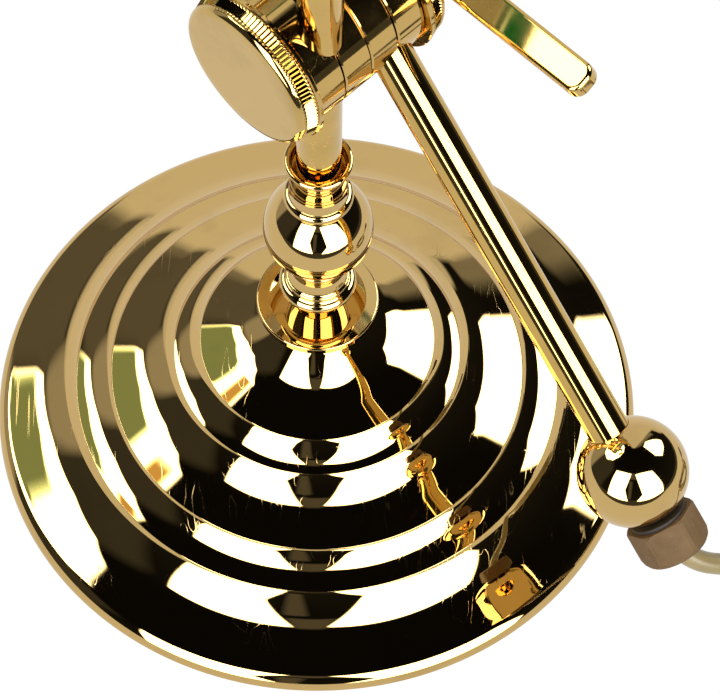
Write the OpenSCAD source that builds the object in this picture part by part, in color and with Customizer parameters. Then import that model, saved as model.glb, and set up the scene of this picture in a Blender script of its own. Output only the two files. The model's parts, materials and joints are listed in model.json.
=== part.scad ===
// Counterbalanced desk lamp of polished brass with a trough-shaped glass shade.
// A stepped round foot carries a turned spindle and a plain post. A clamp slides
// and swivels on the post, and carries a second clamp that holds the slanted arm.

/* [Foot] */
// Radius of the foot at its rim
foot_r = 102.3; // [95:0.1:110]
// Wall of the spun foot shell
shell_t = 1.2; // [0.8:0.1:2]
// Thickness of the felt under the foot
felt_t = 0.8; // [0.6:0.1:1.5]

/* [Post] */
// Radius of the post tube
post_r = 7.1; // [6.5:0.05:7.4]
// Height of the top end of the post tube
post_top = 316; // [300:1:340]

/* [Clamp] */
// Height of the clamp barrel's axis
clamp_z = 212.3; // [205:0.1:225]
// Bearing of the barrel's axis, in degrees from +X towards +Y
clamp_az = 44.7; // [0:0.1:90]
// Radius of the clamp barrel
barrel_r = 24.3; // [22:0.1:26]
// Distance of the barrel's axis behind the post's axis
barrel_e = 12.55; // [12:0.05:13]
// Radius of the clamp knobs at their plain rim
knob_r = 27; // [25:0.1:29]
// Running clearance between shafts and bores
run = 0.05; // [0.03:0.01:0.08]

/* [Arm] */
// Slope of the arm below the horizontal, at the ball end, in degrees
arm_slope = 46.85; // [44:0.05:50]
// Radius of the arm tube
arm_r = 6.75; // [6:0.05:7]
// Distance of the arm's axis from the barrel's axis
arm_off = 9.95; // [9.9:0.05:10.2]
// Distance along the arm from the clamp to the ball's centre
ball_at = 181.3; // [170:0.1:190]
// Radius of the ball counterweight
ball_r = 17.6; // [16:0.1:20]
// Distance along the arm from the clamp to the shade's tilt axis
head_at = 200; // [190:1:215]

/* [Lever] */
// Length of the locking lever, from its axis to its tip
lever_l = 78; // [60:1:90]
// Width of the locking lever
lever_w = 10.8; // [9:0.1:12]
// Rise of the lever above the horizontal, in degrees
lever_rise = 6; // [0:1:20]

/* [Shade] */
// Length of the glass shade
shade_l = 226; // [200:1:240]
// Outer radius of the glass shade's arch
shade_r = 62; // [58:1:66]
// Thickness of the glass, both layers together
glass_t = 4; // [3.5:0.1:5]

/* [Hidden] */

brass = [0.85, 0.68, 0.34];
steel = [0.62, 0.63, 0.65];

// ---- foot ------------------------------------------------------------
// The foot has a rounded rim and rises in five coved steps. Each cove starts at
// its outer crease with a low slope and ends steeply at the next crease.
rim_r = 5.5;       // radius of the rounded rim
rim_end = 75;      // the rim's rounding ends this many degrees up
crease = [[foot_r - rim_r + rim_r * cos(rim_end), felt_t + 0.5 + rim_r * sin(rim_end)], [77, 20.3], [65.7, 27.7], [45.5, 40.1], [37.2, 47.6], [12.5, 62.8]];
// each cove's slope in degrees at 0, 0.3, 0.6, 0.85 and 1 of its length
steep = [[20, 20, 35, 50, 62], [14, 25, 36, 45, 68], [18, 19.5, 34, 47, 62], [25, 33, 48, 54, 62], [16.5, 17.5, 35, 47, 66]];

function slope(c, f) = lookup(f, [[0, c[0]], [0.3, c[1]], [0.6, c[2]], [0.85, c[3]], [1, c[4]]]);
function walk(c, n) = [for (i = 0, w = [0, 0]; i <= n; w = w + [cos(slope(c, (i + 0.5) / n)), sin(slope(c, (i + 0.5) / n))], i = i + 1) w];
// points of the cove from a (outer, low) to b (inner, high), n steps, without the
// last, moved d below the surface
function cove(a, b, c, n, d = 0) =
  let (w = walk(c, n), t = atan2(b[1] - a[1], a[0] - b[0]) - atan2(w[n][1], w[n][0]), k = norm(b - a) / norm(w[n]))
  [for (i = [0:n - 1]) let (x = w[i][0], y = w[i][1], s = slope(c, i / n) + t)
    [a[0] - k * (x * cos(t) - y * sin(t)) - d * sin(s), a[1] + k * (x * sin(t) + y * cos(t)) - d * cos(s)]];

foot_top = [for (k = [0:4]) each cove(crease[k], crease[k + 1], steep[k], 9)];
foot_under = [for (k = [0:4]) each cove(crease[k], crease[k + 1], steep[k], 4, shell_t)];
// a cove's under side crosses the next one near a crease, so points that would fold back are left out
foot_under_ok = [for (i = [0:len(foot_under) - 1])
  if (i == 0 || (foot_under[i][0] < foot_under[i - 1][0] - 0.05 && foot_under[i][1] > foot_under[i - 1][1] + 0.02)) foot_under[i]];

module base_shell() {
  color(brass) rotate_extrude($fn = 180)
    polygon(concat(
      [[foot_r - 0.7, felt_t], [foot_r - 0.2, felt_t + 0.2]],
      [for (i = [0:8]) let (a = rim_end * i / 9) [foot_r - rim_r + rim_r * cos(a), felt_t + 0.5 + rim_r * sin(a)]],
      foot_top, [[12.5, 62.8], [11.5, 62.8], [11.5, 60.6]],
      [for (i = [len(foot_under_ok) - 1:-1:1]) foot_under_ok[i]],
      [[foot_r - 3.8, felt_t + 0.4], [foot_r - 3.6, felt_t]]));
}
module felt_pad() { color([0.12, 0.2, 0.14]) cylinder(r = foot_r - 1.6, h = felt_t - 0.02, $fn = 120); }
module bottom_plate() {
  color(steel) translate([0, 0, felt_t]) difference() {
    cylinder(r = foot_r - 6, h = 1.0, $fn = 120);
    translate([0, 0, -1]) cylinder(r = 4.2, h = 4, $fn = 48);
  }
}
module base_weight() {
  color([0.2, 0.2, 0.21]) difference() {
    rotate_extrude($fn = 120) polygon([[4.3, 2.0], [88, 2.0], [88, 4], [80, 8.5], [74, 12.5], [68, 16.5], [62, 20], [54, 24], [44, 28.5], [34, 34], [4.3, 34]]);
    translate([0, 0, 2]) cylinder(r = 13, h = 11.6, $fn = 64);
  }
}
module centre_rod() { color(steel) translate([0, 0, 3.4]) cylinder(r = 4, h = 150 - 3.4 + 8, $fn = 48); }
module rod_nut() {
  color(steel) translate([0, 0, 5.6]) difference() {
    cylinder(r = 7.5, h = 6.4, $fn = 6);
    translate([0, 0, -1]) cylinder(r = 4.0, h = 9, $fn = 48);
  }
}
module rod_washer() {
  color(steel) translate([0, 0, 12]) difference() {
    cylinder(r = 11, h = 1.6, $fn = 64);
    translate([0, 0, -1]) cylinder(r = 4.3, h = 4, $fn = 48);
  }
}

// ---- spindle, turned pieces threaded on the rod ------------------------
bore = [4.05, 4.05];
module turned(pts) { rotate_extrude($fn = 96) polygon(pts); }
// quarter and half rounds as points: centre, radius, start and end angle
function arc(c, r, a0, a1, n) = [for (i = [0:n]) let (a = a0 + (a1 - a0) * i / n) [c[0] + r * cos(a), c[1] + r * sin(a)]];

module flange_dish() {
  // shallow dish with a flat rim, whose hub passes through the top of the foot
  color(brass) turned(concat([[4.05, 58.4], [11.4, 58.4], [11.4, 62.8], [12.4, 62.8], [12.7, 64.2], [13.7, 66.6], [15.7, 69], [18.6, 70.6]],
    arc([18.7, 71.2], 0.6, -80, 0, 3), arc([18.7, 72.8], 0.6, 0, 90, 4), [[15.4, 73.4], [15.1, 73.25], [6.85, 71.04],
    [6.85, 59.6], [4.05, 59.6]]));
}
module spindle_collar() {
  color(brass) turned(concat([[4.05, 59.6], [6.8, 59.6], [6.7, 78.6], [7.2, 79.6], [8.4, 80.8], [9.2, 82.2]],
    arc([10.05, 84.6], 2.15, -90, 74, 10), [[10.3, 87.0], [9.9, 87.2]], arc([9.4, 88.1], 0.7, -50, 80, 4),
    [[9.0, 89.4], [8.3, 91], [7.9, 93], [7.9, 94.8], [8.3, 96.2]], arc([8.3, 97.6], 0.8, -60, 80, 4),
    arc([8.1, 99.7], 0.8, -50, 80, 4), [[7.8, 101.2], [7.6, 102.0], [4.05, 102.0]]));
}
module spindle_ball() {
  color(brass) difference() {
    intersection() {
      translate([0, 0, 117.4]) sphere(r = 17.3, $fn = 96);
      translate([0, 0, 102.0]) cylinder(r = 30, h = 30.9, $fn = 96);
    }
    translate([0, 0, 90]) cylinder(r = 4.05, h = 60, $fn = 48);
  }
}
module spindle_bead() {
  color(brass) turned(concat([[4.05, 132.9], [8.0, 132.9], [8.3, 133.9]], arc([9.0, 136.4], 2.03, -75, 75, 10),
    [[9.6, 138.8], [4.05, 138.8]]));
}
module spindle_cup() {
  color(brass) difference() {
    turned(concat([[4.05, 138.8], [9.6, 138.8], [9.5, 140], [9.3, 142], [9.25, 144.2], [9.35, 147], [9.6, 150], [9.95, 153], [10.4, 155.3]],
      arc([9.75, 156.3], 1.15, -20, 200, 12), [[8.55, 154.4], [8.4, 153], [7.12, 152.6], [7.12, 146.0], [4.05, 146.0]]));
  }
}
module post_tube() {
  color(brass) translate([0, 0, 146]) difference() {
    cylinder(r = post_r, h = post_top - 146, $fn = 96);
    translate([0, 0, -1]) cylinder(r = 4.05, h = 13.5, $fn = 48);
    translate([0, 0, 12.4]) cylinder(r = post_r - 1.2, h = post_top, $fn = 64);
  }
}
module post_finial() {
  color(brass) translate([0, 0, post_top]) turned(concat([[0, -8], [post_r - 1.25, -8], [post_r - 1.25, 0], [post_r + 1.6, 0]],
    arc([post_r + 1.0, 1.5], 1.3, -40, 60, 4), [[6.4, 3.2], [5.2, 4.6]], arc([0, 11], 8.2, -52, 90, 14)));
}

// ---- clamps: frame with +X along the barrel, +Y away from the post -----
module in_clamp() { translate([0, 0, clamp_z]) rotate([0, 0, clamp_az]) children(); }
// frame on the barrel's axis with its Z along the barrel
module on_axis(x) { translate([x, barrel_e, 0]) rotate([0, 90, 0]) children(); }
// frame of the arm: Z towards the ball, X along the barrel
arm_x = 22;
module in_arm() {
  in_clamp() translate([arm_x, barrel_e - arm_off * sin(arm_slope), arm_off * cos(arm_slope)])
    rotate([90 + arm_slope, 0, 0]) children();
}
module drum(x0, x1, c0 = 0.4, c1 = 0.4, r = barrel_r) {
  on_axis(0) rotate_extrude($fn = 120) polygon([[0, x0], [r - c0, x0], [r, x0 + c0], [r, x1 - c1], [r - c1, x1], [0, x1]]);
}
bolt_r = 2.5;
x_knob = -11.7;    // back face of the large knob
x_mid = 11;        // joint between the two clamps
x_end = 33;        // outer end of the arm clamp

module clamp_liner() {
  color([0.9, 0.88, 0.8]) in_clamp() translate([0, 0, -11.4]) difference() {
    cylinder(r = 8.0, h = 22.8, $fn = 64);
    translate([0, 0, -1]) cylinder(r = post_r + run, h = 26, $fn = 96);
  }
}
module post_cut() {
  translate([0, 0, -40]) cylinder(r = post_r + 0.12, h = 80, $fn = 96);
  translate([0, 0, -11.5]) cylinder(r = 8.0 + run, h = 23, $fn = 96);
}
module post_clamp_outer() {
  color(brass) in_clamp() difference() {
    drum(-11.5, -0.22, 0.3, 0.5);
    post_cut();
    on_axis(-20) cylinder(r = bolt_r + 0.02, h = 40, $fn = 48);
    on_axis(-11.6) cylinder(r = 9, h = 1.1, $fn = 64);
  }
}
module post_clamp_inner() {
  color(brass) in_clamp() difference() {
    drum(0.22, x_mid - 0.12, 0.5, 0.5);
    post_cut();
    on_axis(-20) cylinder(r = bolt_r + 0.02, h = 40, $fn = 48);
    on_axis(x_mid - 0.8) cylinder(r = 18, h = 2, $fn = 96);
  }
}
module clamp_bolt() {
  color(steel) in_clamp() on_axis(-18.2) cylinder(r = bolt_r, h = 18.2 + 60, $fn = 48);
}
module knob_washer() {
  color([0.45, 0.3, 0.2]) in_clamp() on_axis(-11.48) difference() {
    cylinder(r = 8.6, h = 0.96, $fn = 64);
    translate([0, 0, -1]) cylinder(r = bolt_r + 0.02, h = 4, $fn = 48);
  }
}
// a knob: plain rim, groove, tapered knurled band, rounded face
module knob_solid() {
  rotate_extrude($fn = 120) polygon(concat([[bolt_r + run, 0], [knob_r - 0.3, 0], [knob_r, 0.3], [knob_r, 1.3], [knob_r - 0.7, 1.7],
    [knob_r - 0.7, 2.0], [knob_r - 0.4, 2.1], [knob_r - 1.5, 5.6]], arc([knob_r - 4.3, 5.9], 2.8, 0, 72, 6),
    [[knob_r - 4.6, 8.6], [knob_r - 6, 8.7], [0, 8.7], [0, 6.6], [bolt_r + run, 6.6]]));
}
module large_knob() { color(brass) in_clamp() on_axis(x_knob) mirror([0, 0, 1]) knob_solid(); }
module friction_washer() {
  color([0.45, 0.3, 0.2]) in_clamp() on_axis(x_mid - 0.76) difference() {
    cylinder(r = 17.6, h = 0.84, $fn = 96);
    translate([0, 0, -1]) cylinder(r = bolt_r + 0.02, h = 4, $fn = 48);
  }
}
module arm_cut(r) { in_clamp_arm() translate([0, 0, -40]) cylinder(r = r, h = 80, $fn = 96); }
module in_clamp_arm() {
  translate([arm_x, barrel_e - arm_off * sin(arm_slope), arm_off * cos(arm_slope)])
    rotate([90 + arm_slope, 0, 0]) children();
}
module arm_clamp_inner() {
  color(brass) in_clamp() difference() {
    drum(x_mid + 0.12, arm_x - 0.22, 0.5, 0.5);
    arm_cut(arm_r + run);
    on_axis(0) cylinder(r = bolt_r + run, h = 40, $fn = 48);
  }
}
module arm_clamp_outer() {
  color(brass) in_clamp() difference() {
    drum(arm_x + 0.22, x_end, 0.5, 0.3);
    arm_cut(arm_r + run);
    on_axis(0) cylinder(r = bolt_r + run, h = 40, $fn = 48);
  }
}
module right_knob() {
  color(brass) in_clamp() on_axis(x_end + 0.2) difference() {
    knob_solid();
    cylinder(r = bolt_r + run, h = 20, $fn = 48);
  }
}
module lever_washer() {
  color(brass) in_clamp() on_axis(x_end + 8.95) difference() {
    cylinder(r = 6.5, h = 2.2, $fn = 64);
    translate([0, 0, -1]) cylinder(r = bolt_r + run, h = 5, $fn = 48);
  }
}
lever_x = 44.5;
lever_t = 7;
lever_twist = 22;  // the bar's flat faces are turned towards the large knob
module lock_lever() {
  color(brass) in_clamp() translate([lever_x, barrel_e, 0]) rotate([-lever_rise, 0, 0]) difference() {
    union() {
      rotate([0, 90, 0]) cylinder(r = 8, h = lever_w, $fn = 64);
      // bar along -Y with rounded edges and a rounded tip, turned about its length
      translate([lever_w / 2, 0, 0]) rotate([0, -lever_twist, 0]) intersection() {
        translate([0, -6.8, 0]) rotate([90, 0, 0]) linear_extrude(height = lever_l - 6.8) polygon(concat(
          arc([lever_w / 2 - 1.5, lever_t / 2 - 1.5], 1.5, 0, 90, 6), arc([-lever_w / 2 + 1.5, lever_t / 2 - 1.5], 1.5, 90, 180, 6),
          arc([-lever_w / 2 + 1.5, -lever_t / 2 + 1.5], 1.5, 180, 270, 6), arc([lever_w / 2 - 1.5, -lever_t / 2 + 1.5], 1.5, 270, 360, 6)));
        union() {
          translate([-lever_w / 2, -lever_l + 4.2, -5]) cube([lever_w, lever_l, 10]);
          translate([-lever_w / 2 + 4.2, -lever_l + 4.2, -5]) cylinder(r = 4.2, h = 10, $fn = 48);
          translate([lever_w / 2 - 4.2, -lever_l + 4.2, -5]) cylinder(r = 4.2, h = 10, $fn = 48);
          translate([-lever_w / 2 + 4.2, -lever_l, -5]) cube([lever_w - 8.4, 5, 10]);
        }
      }
    }
    translate([-1, 0, 0]) rotate([0, 90, 0]) cylinder(r = bolt_r + run, h = lever_w + 2, $fn = 48);
  }
}
module cap_nut() {
  color(brass) in_clamp() on_axis(lever_x + lever_w + 0.15) difference() {
    union() {
      cylinder(r = 6.3, h = 4, $fn = 6);
      translate([0, 0, 4]) intersection() {
        sphere(r = 5.2, $fn = 48);
        translate([0, 0, 3]) cube([20, 20, 6], center = true);
      }
    }
    translate([0, 0, -1]) cylinder(r = bolt_r + 0.02, h = 6.1, $fn = 48);
  }
}

// ---- arm ---------------------------------------------------------------
module arm_tube() {
  color(brass) in_arm() difference() {
    translate([0, 0, -head_at + 9]) cylinder(r = arm_r, h = head_at - 9 + ball_at - 12, $fn = 96);
    translate([0, 0, -head_at]) cylinder(r = arm_r - 1.2, h = head_at + ball_at, $fn = 64);
  }
}
module counterweight_ball() {
  color(brass) in_arm() translate([0, 0, ball_at]) difference() {
    intersection() {
      sphere(r = ball_r, $fn = 96);
      translate([0, 0, -30]) cylinder(r = 30, h = 30 + 16.6, $fn = 48);
    }
    translate([0, 0, -30]) cylinder(r = arm_r + 0.01, h = 18, $fn = 96);
    translate([0, 0, -30]) cylinder(r = 4.2, h = 60, $fn = 48);
    translate([0, 0, 10]) cylinder(r = 6.02, h = 20, $fn = 48);
  }
}
module gland_neck() {
  color([0.16, 0.12, 0.09]) in_arm() translate([0, 0, ball_at + 10]) difference() {
    union() {
      cylinder(r = 6, h = 7.2, $fn = 48);
      translate([0, 0, 6.6]) cylinder(r = 9.4, h = 1.2, $fn = 64);
    }
    translate([0, 0, -1]) cylinder(r = 3.62, h = 12, $fn = 48);
  }
}
gland_l = 13.4;
module cord_gland() {
  color([0.42, 0.35, 0.25]) in_arm() translate([0, 0, ball_at + 17.8]) difference() {
    intersection() {
      rotate([0, 0, 30]) cylinder(r = 12.1, h = gland_l, $fn = 6);
      rotate_extrude($fn = 64) polygon([[0, 0], [11.1, 0], [11.7, 0.8], [11.7, gland_l - 3.2], [11.2, gland_l - 1.6], [10.2, gland_l - 0.5], [8.8, gland_l], [0, gland_l]]);
    }
    translate([0, 0, -1]) cylinder(r = 3.62, h = gland_l + 2, $fn = 48);
    // the mouth opens out where the cord bends away
    translate([0, 0, gland_l - 6.5]) cylinder(r1 = 3.6, r2 = 5.8, h = 6.6, $fn = 48);
  }
}
module arm_cable() {
  color([0.75, 0.72, 0.6]) in_arm() translate([0, 0, -head_at + 10]) cylinder(r = 3.3, h = head_at - 10 + lead_at - 1, $fn = 32);
}
eye_r = 9;
module arm_knuckle() {
  color(brass) in_arm() translate([0, 0, -head_at]) difference() {
    union() {
      rotate([0, 90, 0]) translate([0, 0, -7]) cylinder(r = eye_r, h = 14, $fn = 64);
      cylinder(r = 6.9, h = 9.5, $fn = 64);
      translate([0, 0, 8.6]) rotate_extrude($fn = 64) polygon([[0, 0], [7.2, 0], [8.2, 0.9], [8.2, 8], [7.6, 9.2], [0, 9.2]]);
    }
    rotate([0, 90, 0]) translate([0, 0, -20]) cylinder(r = 3 + run, h = 40, $fn = 48);
    translate([0, 0, 9]) cylinder(r = arm_r + 0.01, h = 12, $fn = 96);
    translate([0, 0, 4.4]) cylinder(r = 3.4, h = 6, $fn = 48);
  }
}

// ---- head: frame with +X along the shade, origin on the tilt axis -------
module in_head() {
  in_clamp() translate([arm_x, barrel_e - arm_off * sin(arm_slope) + head_at * cos(arm_slope),
    arm_off * cos(arm_slope) + head_at * sin(arm_slope)]) children();
}
module pivot_pin() { color(brass) in_head() rotate([0, 90, 0]) translate([0, 0, -15.5]) cylinder(r = 3, h = 31, $fn = 48); }
module pivot_nuts() {
  color(brass) in_head() for (m = [0, 1]) mirror([m, 0, 0]) translate([10.6, 0, 0]) rotate([0, 90, 0]) difference() {
    intersection() {
      cylinder(r = 5.6, h = 4.2, $fn = 6);
      rotate_extrude($fn = 48) polygon([[0, 0], [5.4, 0], [5.4, 3.6], [4.8, 4.2], [0, 4.2]]);
    }
    translate([0, 0, -1]) cylinder(r = 3.0, h = 7, $fn = 48);
  }
}
bridge_z = 13;
shade_z = 17;      // plane of the shade's mouth
lamp_z = 39;       // axis of lampholder, bulb and shade screws
module shade_yoke() {
  color(brass) in_head() difference() {
    union() {
      for (m = [0, 1]) mirror([m, 0, 0]) {
        translate([7.3, -8, 0]) cube([3.2, 16, bridge_z]);
        translate([7.3, 0, 0]) rotate([0, 90, 0]) cylinder(r = 8, h = 3.2, $fn = 48);
      }
      translate([-10.5, -8, bridge_z - 2.6]) cube([21, 16, 2.6]);
    }
    rotate([0, 90, 0]) translate([0, 0, -20]) cylinder(r = 3.02, h = 40, $fn = 48);
    translate([0, 0, 5]) cylinder(r = 5.02, h = 20, $fn = 48);
  }
}
// hollow threaded tube that joins yoke, bracket and lampholder plate
module holder_nipple() {
  color(steel) in_head() translate([0, 0, 9.5]) difference() {
    cylinder(r = 5, h = 12.6, $fn = 48);
    translate([0, 0, -1]) cylinder(r = 3.7, h = 16, $fn = 48);
  }
}
module holder_nut() {
  color(brass) in_head() translate([0, 0, bridge_z + 3.7]) difference() {
    cylinder(r = 8.2, h = 3.2, $fn = 6);
    translate([0, 0, -1]) cylinder(r = 5.02, h = 6, $fn = 48);
  }
}
bracket_x = shade_l / 2 + 0.6;   // inner face of the bracket's ends
module shade_bracket() {
  color(brass) in_head() difference() {
    union() {
      translate([-bracket_x - 2, -7, bridge_z]) cube([2 * bracket_x + 4, 14, 2]);
      for (m = [0, 1]) mirror([m, 0, 0]) {
        translate([bracket_x, -7, bridge_z]) cube([2, 14, lamp_z - bridge_z]);
        translate([bracket_x, 0, lamp_z]) rotate([0, 90, 0]) cylinder(r = 7, h = 2, $fn = 48);
      }
    }
    for (m = [0, 1]) mirror([m, 0, 0]) translate([100, 0, lamp_z]) rotate([0, 90, 0]) cylinder(r = 2.02, h = 30, $fn = 32);
    translate([0, 0, 5]) cylinder(r = 5.02, h = 20, $fn = 48);
  }
}
// plate with a long foot and an upright, which carries the lampholder
holder_x = -50;
module holder_plate() {
  color(brass) in_head() difference() {
    union() {
      translate([holder_x - 1.6, -8, bridge_z + 2.05]) cube([9.4 - holder_x, 16, 1.6]);
      translate([holder_x - 1.6, -8, bridge_z + 2.05]) cube([1.6, 16, lamp_z - bridge_z]);
      translate([holder_x - 1.6, 0, lamp_z]) rotate([0, 90, 0]) cylinder(r = 9.6, h = 1.6, $fn = 48);
    }
    translate([0, 0, 5]) cylinder(r = 5.02, h = 20, $fn = 48);
    translate([holder_x - 5, 0, lamp_z]) rotate([0, 90, 0]) cylinder(r = 3, h = 10, $fn = 32);
  }
}
// trough of glass: half of a turned body whose axis runs along the middle of
// the mouth, with rounded ends
function shoulder(r0, l0, c) = concat([[0, -l0]], arc([r0 - c, -l0 + c], c, -90, 0, 8), arc([r0 - c, l0 - c], c, 0, 90, 8), [[0, l0]]);
module arch_solid(r0, l0, c) {
  intersection() {
    translate([0, 0, shade_z]) rotate([0, 90, 0]) rotate_extrude($fn = 120) polygon(shoulder(r0, l0, c));
    translate([-200, -200, shade_z]) cube([400, 400, 200]);
  }
}
module below_mouth() { translate([-200, -200, shade_z - 1]) cube([400, 400, 1.01]); }
module screw_holes(r) {
  for (m = [0, 1]) mirror([m, 0, 0]) translate([90, 0, lamp_z]) rotate([0, 90, 0]) cylinder(r = r, h = 40, $fn = 48);
}
module shade_glass() {
  color([0.05, 0.35, 0.15]) in_head() difference() {
    arch_solid(shade_r, shade_l / 2, 20);
    arch_solid(shade_r - 2.4, shade_l / 2 - 2.4, 17.6);
    below_mouth();
    screw_holes(3);
  }
}
module shade_lining() {
  color([0.95, 0.95, 0.92]) in_head() difference() {
    arch_solid(shade_r - 2.42, shade_l / 2 - 2.42, 17.6);
    arch_solid(shade_r - glass_t, shade_l / 2 - glass_t, 16);
    below_mouth();
    screw_holes(3);
  }
}
module shade_screws() {
  color(brass) in_head() for (m = [0, 1]) mirror([m, 0, 0]) translate([bracket_x + 2.1, 0, lamp_z]) rotate([0, 90, 0]) union() {
    translate([0, 0, -9]) cylinder(r = 2, h = 9.1, $fn = 32);
    rotate_extrude($fn = 64) polygon([[0, 0], [5, 0], [5, 1.4], [7.5, 1.6], [7.5, 6.2], [7, 6.8], [4, 7.6], [0, 7.8]]);
  }
}
module shade_nuts() {
  color(brass) in_head() for (m = [0, 1]) mirror([m, 0, 0]) translate([shade_l / 2 - glass_t - 3.3, 0, lamp_z]) rotate([0, 90, 0]) difference() {
    cylinder(r = 5.5, h = 3.2, $fn = 48);
    translate([0, 0, -1]) cylinder(r = 2.02, h = 6, $fn = 32);
  }
}
module lampholder() {
  color([0.93, 0.92, 0.88]) in_head() translate([holder_x, 0, lamp_z]) rotate([0, 90, 0]) difference() {
    union() {
      cylinder(r = 11.4, h = 14, $fn = 64);
      translate([0, 0, 14]) cylinder(r = 12.6, h = 22, $fn = 64);
    }
    translate([0, 0, 8]) cylinder(r = 7.4, h = 40, $fn = 64);
    translate([0, 0, -1]) cylinder(r = 3.1, h = 12, $fn = 32);
    // seat of the switch spindle
    translate([0, -20, 6]) rotate([-90, 0, 0]) cylinder(r = 2 + run, h = 14, $fn = 32);
  }
}
module holder_ring() {
  color(brass) in_head() translate([holder_x + 24, 0, lamp_z]) rotate([0, 90, 0]) difference() {
    cylinder(r = 14.4, h = 5, $fn = 64);
    translate([0, 0, -1]) cylinder(r = 12.62, h = 8, $fn = 64);
  }
}
module bulb_cap() {
  color(steel) in_head() translate([holder_x + 9, 0, lamp_z]) rotate([0, 90, 0])
    rotate_extrude($fn = 64) polygon([[0, 0], [3, 0], [6, 3], [7.1, 4], [7.1, 26.5], [0, 26.5]]);
}
module bulb() {
  color([1, 0.97, 0.9]) in_head() translate([holder_x + 35.6, 0, lamp_z]) rotate([0, 90, 0])
    rotate_extrude($fn = 64) polygon(concat([[0, 0], [7, 0], [7.6, 2], [10, 7], [12.5, 12], [12.5, 56]], arc([0, 56], 12.5, 10, 90, 8)));
}
module switch_key() {
  color(brass) in_head() translate([holder_x + 6, 0, lamp_z]) rotate([90, 0, 0]) union() {
    translate([0, 0, 7.6]) cylinder(r = 2, h = 9, $fn = 32);
    translate([0, 0, 16.5]) rotate_extrude($fn = 48) polygon([[0, 0], [3.4, 0], [4.2, 0.8], [4.2, 6.2], [3.4, 7], [0, 7]]);
  }
}

// ---- mains cord ----------------------------------------------------------
cord_r = 3.4;
// a point on the arm's axis, at distance t from the clamp towards the ball
arm_dir = [cos(arm_slope) * sin(clamp_az), -cos(arm_slope) * cos(clamp_az), -sin(arm_slope)];
arm_start = [arm_x * cos(clamp_az) - (barrel_e - arm_off * sin(arm_slope)) * sin(clamp_az),
  arm_x * sin(clamp_az) + (barrel_e - arm_off * sin(arm_slope)) * cos(clamp_az), clamp_z + arm_off * cos(arm_slope)];
// where the free lead begins, inside the gland
lead_at = 206;
// route of the lead from the gland down to the table and on to the coil
lead_route = concat([arm_start + lead_at * arm_dir], [[112.8, -82.3, 66.4], [115.9, -83.8, 62.8], [119.5, -84.3, 59.4], [123.5, -84, 56.4],
  [127.6, -82.8, 53.8], [131.7, -81.6, 51.2], [135.7, -80.7, 48.3], [143.3, -79.4, 42], [150.4, -79.1, 35], [157.4, -79, 27.8], [164.2, -78.9, 20.5],
  [171.2, -78.9, 13.3], [179.4, -79.2, 7.7], [188.8, -79.9, 4.4], [198.6, -80.8, 3.45], [208, -81.4, 3.45], [216, -81.8, 3.45], [228, -81.8, 3.45]]);
// route of the tail from the top of the coil down to the plug
tail_route = [[287, -36.8, 17.15], [287, -28, 16.5], [286.8, -19, 14.7], [286.4, -10, 12.2], [285.8, -1, 9.8], [285.3, 8, 7.9], [285, 17, 7.1], [285, 26, 7], [285, 33, 7]];
ring_n = 10;
function unit(v) = v / norm(v);
function tangent(r, i) = unit(i == 0 ? r[1] - r[0] : i == len(r) - 1 ? r[i] - r[i - 1] : r[i + 1] - r[i - 1]);
function side(t) = unit(cross(t, [0.2, 0.35, 1]));
function tube_pts(r) = [for (i = [0:len(r) - 1]) let (t = tangent(r, i), u = side(t), v = cross(t, u))
  for (k = [0:ring_n - 1]) r[i] + cord_r * (cos(360 * k / ring_n) * u + sin(360 * k / ring_n) * v)];
function tube_faces(m) = concat([[for (k = [0:ring_n - 1]) ring_n - 1 - k]],
  [for (i = [0:m - 2]) for (k = [0:ring_n - 1]) let (a = i * ring_n + k, b = i * ring_n + (k + 1) % ring_n)
    [a, b, b + ring_n, a + ring_n]],
  [[for (k = [0:ring_n - 1]) (m - 1) * ring_n + k]]);
cord_color = [0.62, 0.55, 0.35];
module cord_lead() { color(cord_color) polyhedron(points = tube_pts(lead_route), faces = tube_faces(len(lead_route)), convexity = 6); }
module cord_tail() { color(cord_color) polyhedron(points = tube_pts(tail_route), faces = tube_faces(len(tail_route)), convexity = 6); }
coil_c = [242, -36.8];
module cord_coil() {
  color(cord_color) translate([coil_c[0], coil_c[1], 0]) rotate_extrude($fn = 96)
    polygon([[27.8, 0.2], [29.2, 0], [46.6, 0], [48.2, 1.2], [48.5, 3.4], [48.5, 17.2], [47.4, 19.8], [45, 20.7], [42.8, 19.8], [41.6, 17.2], [41, 14], [38, 13.8], [30, 13.8], [28.2, 12.6], [27.8, 10]]);
}
// band round the bundle of turns
tie_az = -45;
module cord_tie() {
  color([0.1, 0.1, 0.1]) translate([coil_c[0], coil_c[1], 0]) rotate([0, 0, tie_az]) translate([38.1, 0, 0]) difference() {
    translate([-12.2, -5, 0]) cube([24.4, 10, 22.2]);
    translate([-10.6, -6, 1]) cube([21.2, 12, 19.8]);
  }
}
plug_c = [285, 32];
// tapered sleeve where the cord enters the plug
module plug_sleeve() {
  color([0.1, 0.1, 0.1]) translate([plug_c[0], plug_c[1] - 6, 7]) rotate([-90, 0, 0]) difference() {
    rotate_extrude($fn = 48) polygon([[0, 0], [4.6, 0], [6.2, 24], [0, 24]]);
    translate([0, 0, -1]) cylinder(r = cord_r + 0.02, h = 7.3, $fn = 48);
  }
}
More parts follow.
